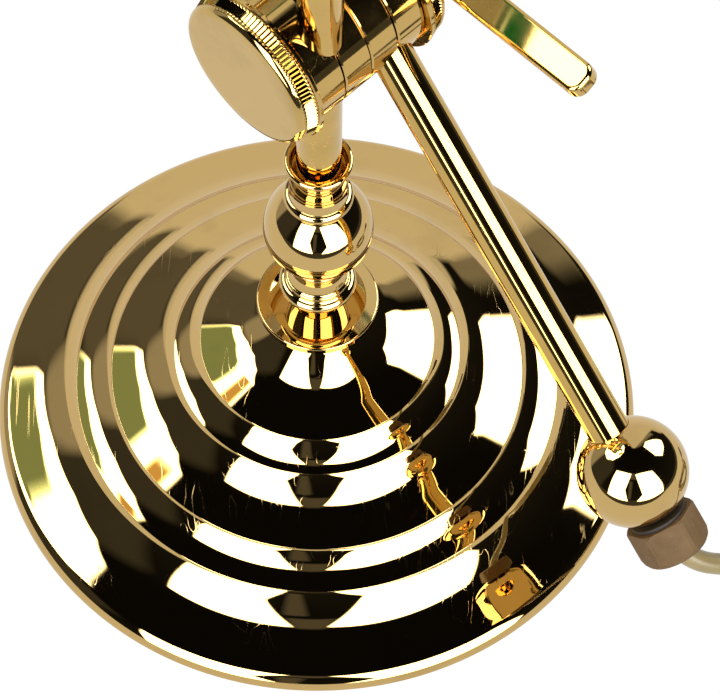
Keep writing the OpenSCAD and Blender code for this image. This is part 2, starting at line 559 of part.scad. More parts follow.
// flat two-pin plug body, widest at its pin face
plug_w = 35.3;
plug_l = 35;
module plug_plan(d) {
  polygon([[-8 + d, 0], [-plug_w / 2 + d, 13], [-plug_w / 2 + d, plug_l - 2], [-plug_w / 2 + 2 + d, plug_l],
    [plug_w / 2 - 2 - d, plug_l], [plug_w / 2 - d, plug_l - 2], [plug_w / 2 - d, 13], [8 - d, 0]]);
}
module mains_plug() {
  color([0.1, 0.1, 0.1]) translate([plug_c[0], plug_c[1] + 18.1, 0.1]) difference() {
    union() {
      translate([0, 0, 0]) linear_extrude(2) plug_plan(1.2);
      translate([0, 0, 1.6]) linear_extrude(10.6) plug_plan(0);
      translate([0, 0, 11.8]) linear_extrude(2) plug_plan(1.2);
    }
    for (m = [-1, 1]) translate([m * 9.3, plug_l - 10, 6.9]) rotate([-90, 0, 0]) cylinder(r = 2.01, h = 12, $fn = 32);
  }
}
module plug_pins() {
  color(steel) for (m = [-1, 1]) translate([plug_c[0] + m * 9.3, plug_c[1] + 18.1 + plug_l - 9.8, 7]) rotate([-90, 0, 0])
    rotate_extrude($fn = 32) polygon([[0, 0], [2, 0], [2, 27.4], [1.6, 28.4], [0.8, 28.8], [0, 28.8]]);
}

base_shell();
felt_pad();
bottom_plate();
base_weight();
centre_rod();
rod_nut();
rod_washer();
flange_dish();
spindle_collar();
spindle_ball();
spindle_bead();
spindle_cup();
post_tube();
post_finial();
clamp_liner();
post_clamp_outer();
post_clamp_inner();
clamp_bolt();
knob_washer();
large_knob();
friction_washer();
arm_clamp_inner();
arm_clamp_outer();
right_knob();
lever_washer();
lock_lever();
cap_nut();
arm_tube();
counterweight_ball();
gland_neck();
cord_gland();
arm_cable();
arm_knuckle();
pivot_pin();
pivot_nuts();
shade_yoke();
holder_nipple();
holder_nut();
shade_bracket();
holder_plate();
shade_glass();
shade_lining();
shade_screws();
shade_nuts();
lampholder();
holder_ring();
bulb_cap();
bulb();
switch_key();
cord_lead();
cord_coil();
cord_tail();
cord_tie();
plug_sleeve();
mains_plug();
plug_pins();
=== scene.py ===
import math, json
import bpy, bmesh
import numpy as np
from mathutils import Matrix, Vector

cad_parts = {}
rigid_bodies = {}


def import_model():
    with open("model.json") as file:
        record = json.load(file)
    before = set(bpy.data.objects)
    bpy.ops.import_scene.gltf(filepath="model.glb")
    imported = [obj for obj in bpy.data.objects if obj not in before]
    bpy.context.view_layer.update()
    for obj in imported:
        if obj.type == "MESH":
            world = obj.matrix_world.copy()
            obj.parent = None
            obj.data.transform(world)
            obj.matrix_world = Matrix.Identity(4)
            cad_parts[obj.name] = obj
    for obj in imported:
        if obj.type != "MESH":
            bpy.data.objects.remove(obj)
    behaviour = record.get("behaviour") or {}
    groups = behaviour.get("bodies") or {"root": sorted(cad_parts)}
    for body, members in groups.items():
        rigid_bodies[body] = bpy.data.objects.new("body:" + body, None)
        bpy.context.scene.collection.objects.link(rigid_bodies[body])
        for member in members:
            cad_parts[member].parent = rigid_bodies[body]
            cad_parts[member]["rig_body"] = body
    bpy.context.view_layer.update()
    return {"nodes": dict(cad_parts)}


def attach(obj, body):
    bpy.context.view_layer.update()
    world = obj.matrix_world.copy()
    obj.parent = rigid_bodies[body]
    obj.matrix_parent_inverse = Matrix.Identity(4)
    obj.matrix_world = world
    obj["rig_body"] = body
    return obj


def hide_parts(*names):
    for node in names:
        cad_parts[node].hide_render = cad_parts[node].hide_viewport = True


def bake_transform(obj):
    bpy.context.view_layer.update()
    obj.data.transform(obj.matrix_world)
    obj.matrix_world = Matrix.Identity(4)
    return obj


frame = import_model()
scene = bpy.context.scene
nodes = frame["nodes"]
MM = 0.001

# ------------------------------------------------------------------ frames
def T(x, y, z):
    return Matrix.Translation((x, y, z))


def R(deg, axis):
    return Matrix.Rotation(math.radians(deg), 4, axis)


SLOPE = 46.85
SN, CS = math.sin(math.radians(SLOPE)), math.cos(math.radians(SLOPE))
HOME = Matrix.Identity(4)
CLAMP = T(0, 0, 212.3) @ R(44.7, "Z")
ARM = CLAMP @ T(22, 12.55 - 9.95 * SN, 9.95 * CS) @ R(90 + SLOPE, "X")
HEAD = CLAMP @ T(22, 12.55 - 9.95 * SN + 200 * CS, 9.95 * CS + 200 * SN)


def on_axis(x):
    return CLAMP @ T(x, 12.55, 0) @ R(90, "Y")


# ------------------------------------------------------------------ camera
cam_data = bpy.data.cameras.new("camera")
cam = bpy.data.objects.new("camera", cam_data)
scene.collection.objects.link(cam)
right = Vector((0.99985, 0.01493, 0.00869))
forward = Vector((0.0, 0.50317, -0.86419)).normalized()
right = (right - right.dot(forward) * forward).normalized()
up = right.cross(forward).normalized()
rot = Matrix((right, up, -forward)).transposed()
cam.matrix_world = Matrix.Translation(Vector((0.01366, -1.49083, 2.60344))) @ rot.to_4x4()
cam_data.type = "PERSP"
cam_data.sensor_width = 36
cam_data.sensor_fit = "HORIZONTAL"
cam_data.lens = 465
cam_data.clip_start, cam_data.clip_end = 0.1, 30
scene.camera = cam
scene.view_settings.view_transform = "Standard"
scene.view_settings.look = "None"

# ------------------------------------------------------------------ node helpers
class Mat:
    """A small builder for a procedural material."""

    def __init__(self, name):
        self.m = bpy.data.materials.new(name)
        self.m.use_nodes = True
        self.t = self.m.node_tree
        self.b = self.t.nodes["Principled BSDF"]
        self.out = self.t.nodes["Material Output"]
        self.co = self.t.nodes.new("ShaderNodeTexCoord").outputs["Object"]

    def set(self, **k):
        for name, v in k.items():
            s = self.b.inputs[name.replace("_", " ")]
            s.default_value = v
        return self

    def node(self, kind, **k):
        n = self.t.nodes.new(kind)
        for a, v in k.items():
            setattr(n, a, v)
        return n

    def link(self, a, b):
        self.t.links.new(a, b)

    def mapping(self, scale=(1, 1, 1), rot=(0, 0, 0), src=None):
        n = self.node("ShaderNodeMapping")
        n.inputs["Scale"].default_value = scale
        n.inputs["Rotation"].default_value = rot
        self.link(src or self.co, n.inputs["Vector"])
        return n.outputs[0]

    def noise(self, scale, detail=4, rough=0.55, vec=None, dist=0):
        n = self.node("ShaderNodeTexNoise")
        n.inputs["Scale"].default_value = scale
        n.inputs["Detail"].default_value = detail
        n.inputs["Roughness"].default_value = rough
        n.inputs["Distortion"].default_value = dist
        self.link(vec or self.co, n.inputs["Vector"])
        return n.outputs["Fac"]

    def ramp(self, fac, stops):
        n = self.node("ShaderNodeValToRGB")
        e = n.color_ramp.elements
        while len(e) < len(stops):
            e.new(0.5)
        for i, (p, c) in enumerate(stops):
            e[i].position = p
            e[i].color = c if len(c) == 4 else (*c, 1)
        self.link(fac, n.inputs["Fac"])
        return n.outputs["Color"]

    def rng(self, v, a, b, c, d, smooth=False):
        n = self.node("ShaderNodeMapRange")
        if smooth:
            n.interpolation_type = "SMOOTHSTEP"
        for i, x in enumerate((a, b, c, d)):
            n.inputs[i + 1].default_value = x
        self.link(v, n.inputs[0])
        return n.outputs[0]

    def math(self, op, a, b=None):
        n = self.node("ShaderNodeMath", operation=op)
        for i, x in enumerate((a, b)):
            if x is None:
                continue
            if isinstance(x, (int, float)):
                n.inputs[i].default_value = x
            else:
                self.link(x, n.inputs[i])
        return n.outputs[0]

    def mix(self, fac, a, b, blend="MIX"):
        n = self.node("ShaderNodeMix", data_type="RGBA", blend_type=blend)
        if isinstance(fac, (int, float)):
            n.inputs[0].default_value = fac
        else:
            self.link(fac, n.inputs[0])
        for s, x in ((6, a), (7, b)):
            if isinstance(x, tuple):
                n.inputs[s].default_value = x if len(x) == 4 else (*x, 1)
            else:
                self.link(x, n.inputs[s])
        return n.outputs[2]

    def bump(self, height, strength, distance, after=None):
        n = self.node("ShaderNodeBump")
        n.inputs["Strength"].default_value = strength
        n.inputs["Distance"].default_value = distance
        self.link(height, n.inputs["Height"])
        if after is not None:
            self.link(after, n.inputs["Normal"])
        return n.outputs[0]

    def to(self, name, v):
        self.link(v, self.b.inputs[name])
        return self


def scratches(m, count, scale, width):
    """Thin straight lines in a few directions, as a mask from 0 to 1."""
    total = None
    for i in range(count):
        v = m.mapping(scale=(scale, scale * 0.02, scale * 0.9), rot=(0.4 + 1.1 * i, 0.9 * i + 0.3, 0.7 + 2.4 * i))
        w = m.noise(1.0, detail=1, rough=0.3, vec=v)
        line = m.rng(m.math("ABSOLUTE", m.math("SUBTRACT", w, 0.5)), 0.0, width, 1.0, 0.0, smooth=True)
        gate = m.rng(m.noise(22 + 9 * i, detail=2, vec=m.mapping(rot=(i, 2 * i, 0.3))), 0.56, 0.66, 0.0, 1.0, smooth=True)
        line = m.math("MULTIPLY", line, gate)
        total = line if total is None else m.math("MAXIMUM", total, line)
    return total


BRASS = (0.69, 0.47, 0.178)


def brass(name, wave=0.0, rough=0.03, scratch=0.5, tint=BRASS, worn=0.12):
    m = Mat(name)
    m.set(Metallic=1.0)
    patch = m.noise(38, detail=5, rough=0.6)
    dark = tuple(c * (1 - worn) for c in tint)
    m.to("Base Color", m.ramp(patch, [(0.30, dark), (0.48, tint), (0.62, tint), (0.8, tuple(min(1, c * 1.04) for c in tint))]))
    fine = m.noise(900, detail=3, rough=0.7)
    smear = m.noise(60, detail=6, rough=0.65, dist=0.6)
    line = scratches(m, 3, 260, 0.012)
    r = m.math("ADD", m.rng(smear, 0.3, 0.75, rough * 0.7, rough * 2.0), m.math("MULTIPLY", fine, rough * 0.5))
    r = m.math("ADD", r, m.math("MULTIPLY", line, 0.12 * scratch))
    m.to("Roughness", r)
    n = m.bump(m.math("MULTIPLY", line, -1.0), 0.12 * scratch, 0.00004)
    n = m.bump(m.noise(1500, detail=2), 0.05, 0.00001, after=n)
    if wave:
        n = m.bump(m.noise(55, detail=1.5, rough=0.4), wave, 0.0003, after=n)
    m.to("Normal", n)
    return m.m


M_FOOT = brass("brass_foot", wave=0.035, rough=0.014, scratch=1.0)
M_TURN = brass("brass_turned", wave=0.0, rough=0.025, scratch=0.5)
M_DRUM = brass("brass_drum", wave=0.015, rough=0.05, scratch=0.8, tint=(0.69, 0.46, 0.150))
M_TUBE = brass("brass_tube", wave=0.01, rough=0.03, scratch=0.6, tint=(0.69, 0.455, 0.135))
M_KNOB = brass("brass_knob", wave=0.0, rough=0.045, scratch=0.6, tint=(0.69, 0.465, 0.155))
M_HEAD = brass("brass_head", wave=0.01, rough=0.06, scratch=0.8, worn=0.18)


def steel(name, tint=(0.42, 0.42, 0.43), rough=0.32, brushed=(1, 1, 60)):
    m = Mat(name)
    m.set(Metallic=1.0)
    v = m.mapping(scale=brushed)
    s = m.noise(300, detail=3, vec=v)
    m.to("Base Color", m.ramp(m.noise(80), [(0.3, tuple(c * 0.8 for c in tint)), (0.7, tint)]))
    m.to("Roughness", m.rng(s, 0.3, 0.7, rough * 0.8, rough * 1.3))
    m.to("Normal", m.bump(s, 0.1, 0.00005))
    return m.m


M_STEEL = steel("satin_steel")
M_PIN = steel("pin_nickel", tint=(0.62, 0.60, 0.55), rough=0.22)


def iron():
    m = Mat("cast_iron")
    m.to("Base Color", m.ramp(m.noise(200, detail=8, rough=0.7), [(0.35, (0.025, 0.025, 0.027)), (0.7, (0.09, 0.085, 0.08))]))
    m.set(Roughness=0.75, Metallic=0.4)
    m.to("Normal", m.bump(m.noise(700, detail=8, rough=0.75), 0.5, 0.0005))
    return m.m


M_IRON = iron()


def felt():
    m = Mat("green_felt")
    fib = m.noise(2600, detail=6, rough=0.8, dist=1.5)
    m.to("Base Color", m.ramp(fib, [(0.3, (0.004, 0.022, 0.010)), (0.7, (0.015, 0.065, 0.030))]))
    m.set(Roughness=0.95, Sheen_Weight=0.6, Sheen_Roughness=0.5)
    m.to("Normal", m.bump(fib, 0.6, 0.0003))
    return m.m


M_FELT = felt()


def plastic(name, a, b, rough=0.45, grain=900, depth=0.25, dist=0.0001, wear=None, spec=0.5):
    m = Mat(name)
    big = m.noise(90, detail=5, rough=0.65)
    col = m.ramp(big, [(0.3, a), (0.72, b)])
    if wear:
        col = m.mix(m.rng(m.noise(320, detail=6, rough=0.8), 0.56, 0.7, 0, 0.7, smooth=True), col, wear)
    m.to("Base Color", col)
    g = m.noise(grain, detail=4, rough=0.7)
    m.to("Roughness", m.rng(g, 0.3, 0.7, rough * 0.85, rough * 1.2))
    m.b.inputs["Specular IOR Level"].default_value = spec
    m.to("Normal", m.bump(g, depth, dist))
    return m.m


M_GLAND = plastic("brown_plastic", (0.085, 0.050, 0.022), (0.125, 0.078, 0.036), rough=0.62, grain=650, depth=0.5, dist=0.0002, wear=(0.15, 0.10, 0.05), spec=0.12)
M_NECK = plastic("dark_plastic", (0.010, 0.007, 0.005), (0.022, 0.015, 0.010), rough=0.55)
M_BLACK = plastic("black_plastic", (0.008, 0.008, 0.009), (0.016, 0.016, 0.017), rough=0.42, grain=1400, depth=0.35)
M_FIBRE = plastic("fibre", (0.09, 0.04, 0.02), (0.14, 0.07, 0.035), rough=0.8, grain=1800, depth=0.6)
M_NYLON = plastic("nylon", (0.62, 0.60, 0.52), (0.72, 0.70, 0.62), rough=0.4, grain=1200, depth=0.15)
M_PORC = plastic("porcelain", (0.72, 0.70, 0.64), (0.80, 0.78, 0.72), rough=0.14, grain=400, depth=0.05)
M_CABLE = plastic("arm_cable_pvc", (0.30, 0.24, 0.12), (0.36, 0.29, 0.15), rough=0.4)


def cord_pvc():
    m = Mat("cord_pvc")
    col = m.ramp(m.noise(45, detail=4), [(0.3, (0.155, 0.118, 0.048)), (0.7, (0.205, 0.160, 0.070))])
    m.to("Base Color", col)
    g = m.noise(500, detail=4, rough=0.7)
    m.to("Roughness", m.rng(g, 0.3, 0.7, 0.26, 0.4))
    m.set(Coat_Weight=0.25, Coat_Roughness=0.25)
    m.b.inputs["Subsurface Weight"].default_value = 0.25
    m.b.inputs["Subsurface Radius"].default_value = (0.8, 0.6, 0.25)
    m.b.inputs["Subsurface Scale"].default_value = 0.002
    m.to("Normal", m.bump(g, 0.12, 0.0001))
    return m.m


M_CORD = cord_pvc()


def green_glass():
    m = Mat("green_glass")
    # painted shade: the base colour turns a deeper green towards the outline, where the glass is seen edge-on
    edge_on_shade = m.node("ShaderNodeLayerWeight")
    edge_on_shade.inputs["Blend"].default_value = 0.35
    swirl = m.noise(26, detail=5, rough=0.6, dist=1.2)
    col = m.ramp(swirl, [(0.3, (0.004, 0.110, 0.040)), (0.7, (0.008, 0.165, 0.062))])
    m.to("Base Color", m.mix(m.rng(edge_on_shade.outputs["Facing"], 0.2, 1.0, 0.0, 0.8), col, (0.001, 0.045, 0.016)))
    m.set(Roughness=0.06, Coat_Weight=1.0, Coat_Roughness=0.02, IOR=1.52)
    m.to("Normal", m.bump(m.noise(40, detail=2), 0.03, 0.0004))
    return m.m


def opal():
    m = Mat("opal_glass")
    m.to("Base Color", m.ramp(m.noise(30, detail=4), [(0.3, (0.78, 0.77, 0.72)), (0.7, (0.86, 0.85, 0.80))]))
    m.set(Roughness=0.22, Coat_Weight=0.5, Coat_Roughness=0.1)
    m.b.inputs["Subsurface Weight"].default_value = 0.2
    m.b.inputs["Subsurface Scale"].default_value = 0.004
    m.to("Normal", m.bump(m.noise(55, detail=2), 0.04, 0.0003))
    return m.m


def bulb_glass():
    m = Mat("frosted_bulb")
    m.to("Base Color", m.ramp(m.noise(60, detail=4), [(0.3, (0.84, 0.82, 0.76)), (0.7, (0.92, 0.90, 0.85))]))
    m.set(Roughness=0.45)
    m.b.inputs["Subsurface Weight"].default_value = 0.3
    m.b.inputs["Subsurface Scale"].default_value = 0.003
    m.to("Normal", m.bump(m.noise(1500, detail=2), 0.1, 0.0001))
    return m.m


M_GREEN, M_OPAL, M_BULB = green_glass(), opal(), bulb_glass()

# ------------------------------------------------------------------ mesh helpers
def dress(ob, mat, body, replaces=(), ride=True):
    ob.data.materials.clear()
    ob.data.materials.append(mat)
    if ride:
        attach(ob, body)
    if replaces:
        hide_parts(*replaces)
    return ob


def arc(c, r, a0, a1, n):
    return [(c[0] + r * math.cos(math.radians(a0 + (a1 - a0) * i / n)), c[1] + r * math.sin(math.radians(a0 + (a1 - a0) * i / n))) for i in range(n + 1)]


def bend(points, n):
    """n points on a smooth curve through a few points of a profile."""
    P = np.array(points, float)
    s = np.concatenate([[0], np.cumsum(np.linalg.norm(np.diff(P, axis=0), axis=1))])
    g = np.gradient(P, s, axis=0)
    out = []
    for u in np.linspace(0, s[-1], n):
        i = min(len(s) - 2, int(np.searchsorted(s, u, side="right")) - 1)
        h = s[i + 1] - s[i]
        t = (u - s[i]) / h
        out.append(tuple((2 * t**3 - 3 * t * t + 1) * P[i] + (t**3 - 2 * t * t + t) * h * g[i] + (3 * t * t - 2 * t**3) * P[i + 1] + (t**3 - t * t) * h * g[i + 1]))
    return out


def soften(prof, r, closed=True, amin=24, n=5):
    """Rounds each corner of a profile that turns by more than amin degrees."""
    out = []
    k = len(prof)
    for i, p in enumerate(prof):
        if not closed and i in (0, k - 1):
            out.append(p)
            continue
        a, b = np.array(prof[i - 1]), np.array(prof[(i + 1) % k])
        q = np.array(p)
        u, v = a - q, b - q
        lu, lv = np.linalg.norm(u), np.linalg.norm(v)
        if lu < 1e-6 or lv < 1e-6 or q[0] < 1e-6:
            out.append(p)
            continue
        u, v = u / lu, v / lv
        turn = 180 - math.degrees(math.acos(max(-1, min(1, float(u @ v)))))
        if turn < amin:
            out.append(p)
            continue
        half = math.radians(180 - turn) / 2
        t = min(r / math.tan(half), 0.45 * lu, 0.45 * lv)
        p0, p1 = q + u * t, q + v * t
        rr = t * math.tan(half)
        c = q + (u + v) / np.linalg.norm(u + v) * (rr / math.sin(half))
        a0 = math.atan2(*(p0 - c)[::-1])
        a1 = math.atan2(*(p1 - c)[::-1])
        d = (a1 - a0 + math.pi) % (2 * math.pi) - math.pi
        for j in range(n + 1):
            out.append((c[0] + rr * math.cos(a0 + d * j / n), c[1] + rr * math.sin(a0 + d * j / n)))
    return out


def lathe(name, prof, M, n=256, closed=True, th0=0.0, th1=360.0, soft=0.12, mod=None, amin=24):
    """A turned body about the frame's Z axis. Normals come from the profile."""
    prof = soften(prof, soft, closed, amin) if soft else list(prof)
    P = np.array(prof, float)
    area = 0.5 * sum(P[i][0] * P[(i + 1) % len(P)][1] - P[(i + 1) % len(P)][0] * P[i][1] for i in range(len(P)))
    if area < 0:
        P = P[::-1]
    k = len(P)
    segs = [(i, (i + 1) % k) for i in range(k if closed else k - 1)]
    segs = [s for s in segs if np.linalg.norm(P[s[1]] - P[s[0]]) > 1e-7 and not (P[s[0]][0] < 1e-6 and P[s[1]][0] < 1e-6)]
    nor = np.zeros((k, 2))
    for a, b in segs:
        d = P[b] - P[a]
        l = np.linalg.norm(d)
        m2 = np.array([d[1], -d[0]]) / l * l * l
        nor[a] += m2
        nor[b] += m2
    nor /= np.maximum(np.linalg.norm(nor, axis=1), 1e-12)[:, None]
    full = abs(th1 - th0 - 360) < 1e-6
    th = np.radians(th0 + (th1 - th0) * np.arange(n if full else n + 1) / n)
    m = len(th)
    ct, st = np.cos(th), np.sin(th)
    verts, index, normals = [], {}, {}
    base = 0
    for i in range(k):
        r, z = P[i]
        if r < 1e-6:
            verts.append(np.array([[0, 0, z]]))
            index[i] = np.full(m, base)
            base += 1
        else:
            rr = r if mod is None else mod(th, r, z)
            verts.append(np.stack([rr * ct, rr * st, np.full(m, z)], -1))
            index[i] = base + np.arange(m)
            base += m
        normals[i] = np.stack([nor[i][0] * ct, nor[i][0] * st, np.full(m, nor[i][1])], -1)
    V = np.concatenate(verts)
    faces, ln = [], []
    last = m if full else m - 1
    if not full:
        faces.append(tuple(index[i][0] for i in range(k)))
        ln += [np.array([st[0], -ct[0], 0.0])] * k
        faces.append(tuple(index[i][-1] for i in range(k))[::-1])
        ln += [np.array([-st[-1], ct[-1], 0.0])] * k
    for a, b in segs:
        ia, ib, na, nb = index[a], index[b], normals[a], normals[b]
        pa, pb = P[a][0] < 1e-6, P[b][0] < 1e-6
        for j in range(last):
            j2 = (j + 1) % m
            if pa:
                faces.append((ia[j], ib[j2], ib[j]))
                ln += [na[j], nb[j2], nb[j]]
            elif pb:
                faces.append((ia[j], ia[j2], ib[j]))
                ln += [na[j], na[j2], nb[j]]
            else:
                faces.append((ia[j], ia[j2], ib[j2], ib[j]))
                ln += [na[j], na[j2], nb[j2], nb[j]]
    A = np.array(M)
    W = (V @ A[:3, :3].T + A[:3, 3]) * MM
    me = bpy.data.meshes.new(name)
    me.from_pydata(W.tolist(), [], [tuple(int(x) for x in f) for f in faces])
    me.shade_smooth()
    if mod is None:
        N = np.array(ln) @ A[:3, :3].T
        me.normals_split_custom_set(N.tolist())
    else:
        me.set_sharp_from_angle(angle=math.radians(40))
    me.update()
    ob = bpy.data.objects.new(name, me)
    scene.collection.objects.link(ob)
    return ob


def mesh_object(name, V, F, M=HOME):
    A = np.array(M)
    W = (np.array(V, float) @ A[:3, :3].T + A[:3, 3]) * MM
    me = bpy.data.meshes.new(name)
    me.from_pydata(W.tolist(), [], F)
    ob = bpy.data.objects.new(name, me)
    scene.collection.objects.link(ob)
    return ob


def prism(name, outline, z0, z1, M=HOME):
    k = len(outline)
    V = [(x, y, z0) for x, y in outline] + [(x, y, z1) for x, y in outline]
    F = [tuple(range(k))[::-1], tuple(range(k, 2 * k))] + [(i, (i + 1) % k, k + (i + 1) % k, k + i) for i in range(k)]
    return mesh_object(name, V, F, M)


def apply(ob):
    """Makes an object's modifiers part of its mesh."""
    dg = bpy.context.evaluated_depsgraph_get()
    me = bpy.data.meshes.new_from_object(ob.evaluated_get(dg))
    ob.modifiers.clear()
    old = ob.data
    ob.data = me
    bpy.data.meshes.remove(old)
    return ob


def combine(ob, other, op):
    m = ob.modifiers.new("bool", "BOOLEAN")
    m.operation, m.solver, m.object = op, "EXACT", other
    bpy.context.view_layer.update()
    apply(ob)
    bpy.data.objects.remove(other)
    return ob


def bevel(ob, width, segments=3, angle=30):
    m = ob.modifiers.new("bevel", "BEVEL")
    m.width, m.segments, m.limit_method, m.angle_limit = width * MM, segments, "ANGLE", math.radians(angle)
    m.use_clamp_overlap = True
    m.harden_normals = False
    bpy.context.view_layer.update()
    apply(ob)
    return ob


def smooth(ob, angle=35, weighted=True):
    ob.data.shade_smooth()
    ob.data.set_sharp_from_angle(angle=math.radians(angle))
    if weighted:
        m = ob.modifiers.new("normals", "WEIGHTED_NORMAL")
        m.keep_sharp = True
        m.weight = 70
        bpy.context.view_layer.update()
        apply(ob)
    return ob


def true_normals(ob, rounds, angle=30):
    """Gives a boolean's faces the exact normals of the cylinders they lie on.
    rounds: (frame, radius, -1 for a bore and 1 for an outside)."""
    me = ob.data
    me.shade_smooth()
    me.set_sharp_from_angle(angle=math.radians(angle))
    nl = len(me.loops)
    N = np.empty(nl * 3, np.float32)
    me.corner_normals.foreach_get("vector", N)
    N = N.reshape(-1, 3).astype(float)
    co = np.empty(len(me.vertices) * 3)
    me.vertices.foreach_get("co", co)
    co = co.reshape(-1, 3) / MM
    lv = np.empty(nl, np.int32)
    me.loops.foreach_get("vertex_index", lv)
    pn = np.empty(len(me.polygons) * 3)
    me.polygons.foreach_get("normal", pn)
    pn = pn.reshape(-1, 3)
    start = np.empty(len(me.polygons), np.int32)
    me.polygons.foreach_get("loop_start", start)
    size = np.empty(len(me.polygons), np.int32)
    me.polygons.foreach_get("loop_total", size)
    poly_of = np.repeat(np.arange(len(size)), size)
    for F, r, side in rounds:
        A = np.array(F)
        L = (co - A[:3, 3]) @ A[:3, :3]
        rad = np.hypot(L[:, 0], L[:, 1])
        near = np.abs(rad - r) < 0.02
        good = np.add.reduceat(near[lv].astype(int), start) == size
        radial = np.stack([L[:, 0] / np.maximum(rad, 1e-9), L[:, 1] / np.maximum(rad, 1e-9), np.zeros(len(L))], -1) * side @ A[:3, :3].T
        lr = radial[lv]
        dot = np.abs(np.einsum("ij,ij->i", pn[poly_of], lr))
        use = good[poly_of] & (dot > 0.9)
        N[use] = lr[use]
    me.normals_split_custom_set(N.tolist())
    return ob


def refine(node, name, mat, width=0.35, angle=32):
    """A copy of a CAD node with its edges rounded over, which stands for it."""
    src = nodes[node]
    me = src.data.copy()
    ob = bpy.data.objects.new(name, me)
    scene.collection.objects.link(ob)
    bm = bmesh.new()
    bm.from_mesh(me)
    bmesh.ops.remove_doubles(bm, verts=bm.verts, dist=2e-6)
    bmesh.ops.dissolve_limit(bm, angle_limit=math.radians(0.4), verts=bm.verts, edges=bm.edges)
    bm.to_mesh(me)
    bm.free()
    me.materials.clear()
    bevel(ob, width, 2, angle)
    smooth(ob, 40)
    return dress(ob, mat, src["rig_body"], (node,))


# ------------------------------------------------------------------ cord
def spline(points, step):
    """Even points on a smooth curve through the given ones."""
    P = np.array(points, float)
    k = len(P)
    s = np.concatenate([[0], np.cumsum(np.sqrt(np.linalg.norm(np.diff(P, axis=0), axis=1)))])
    # natural cubic in each coordinate
    h = np.diff(s)
    A = np.zeros((k, k))
    B = np.zeros((k, 3))
    A[0, 0] = A[-1, -1] = 1
    for i in range(1, k - 1):
        A[i, i - 1], A[i, i], A[i, i + 1] = h[i - 1], 2 * (h[i - 1] + h[i]), h[i]
        B[i] = 6 * ((P[i + 1] - P[i]) / h[i] - (P[i] - P[i - 1]) / h[i - 1])
    C = np.linalg.solve(A, B)
    out = []
    for i in range(k - 1):
        for u in np.linspace(0, h[i], 24, endpoint=False):
            a, b = h[i] - u, u
            out.append((C[i] * a**3 + C[i + 1] * b**3) / (6 * h[i]) + (P[i] / h[i] - C[i] * h[i] / 6) * a + (P[i + 1] / h[i] - C[i + 1] * h[i] / 6) * b)
    out.append(P[-1])
    return even(np.array(out), step)


def even(Q, step):
    d = np.concatenate([[0], np.cumsum(np.linalg.norm(np.diff(Q, axis=0), axis=1))])
    m = max(2, int(round(d[-1] / step)) + 1)
    t = np.linspace(0, d[-1], m)
    return np.stack([np.interp(t, d, Q[:, i]) for i in range(3)], -1)


def relax(Q, rounds, hold=2):
    Q = Q.copy()
    for _ in range(rounds):
        Q[hold:-hold] = 0.25 * Q[hold - 1:-hold - 1] + 0.5 * Q[hold:-hold] + 0.25 * Q[hold + 1:len(Q) - hold + 1]
    return Q


def tube(name, Q, r, n=20, cap0=True, cap1=True, M=HOME):
    """A round tube along points, with rings that don't twist."""
    Q = np.array(Q, float)
    t = np.gradient(Q, axis=0)
    t /= np.linalg.norm(t, axis=1)[:, None]
    u = np.cross(t[0], [0.2, 0.35, 1.0])
    u /= np.linalg.norm(u)
    rings = []
    a = 2 * np.pi * np.arange(n) / n
    for i in range(len(Q)):
        if i:
            u = u - (u @ t[i]) * t[i]
            u /= np.linalg.norm(u)
        v = np.cross(t[i], u)
        rings.append(Q[i] + r * (np.cos(a)[:, None] * u + np.sin(a)[:, None] * v))
    V = np.concatenate(rings)
    F = []
    for i in range(len(Q) - 1):
        for k in range(n):
            p, q = i * n + k, i * n + (k + 1) % n
            F.append((p, q, q + n, p + n))
    V = list(map(tuple, V))
    if cap0:
        V.append(tuple(Q[0]))
        c = len(V) - 1
        F += [(c, (k + 1) % n, k) for k in range(n)]
    if cap1:
        V.append(tuple(Q[-1]))
        c = len(V) - 1
        o = (len(Q) - 1) * n
        F += [(c, o + k, o + (k + 1) % n) for k in range(n)]
    ob = mesh_object(name, V, F, M)
    ob.data.shade_smooth()
    ob.data.set_sharp_from_angle(angle=math.radians(60))
    return ob


CORD_R = 3.4
A0 = np.array(ARM @ Vector((0, 0, 0)))
AD = np.array(ARM.to_3x3() @ Vector((0, 0, 1)))
LEAD = [A0 + 206 * AD, A0 + 209.5 * AD] + [np.array(p, float) for p in (
    (112.8, -82.3, 66.4), (115.9, -83.8, 62.8), (119.5, -84.3, 59.4), (123.5, -84, 56.4), (127.6, -82.8, 53.8),
    (131.7, -81.6, 51.2), (135.7, -80.7, 48.3), (143.3, -79.4, 42), (150.4, -79.1, 35), (157.4, -79, 27.8), (164.2, -78.9, 20.5),
    (171.2, -78.9, 13.3), (179.4, -79.2, 7.7), (188.8, -79.9, 4.4), (198.6, -80.8, 3.45), (208, -81.4, 3.45), (216, -81.8, 3.45), (228, -81.8, 3.45))]
COIL = (242.0, -36.8)
TURN_R, PITCH, LOW = 45.0, 6.85, 3.45


def ease(x, a, b):
    t = np.clip((x - a) / (b - a), 0, 1)
    return t * t * (3 - 2 * t)


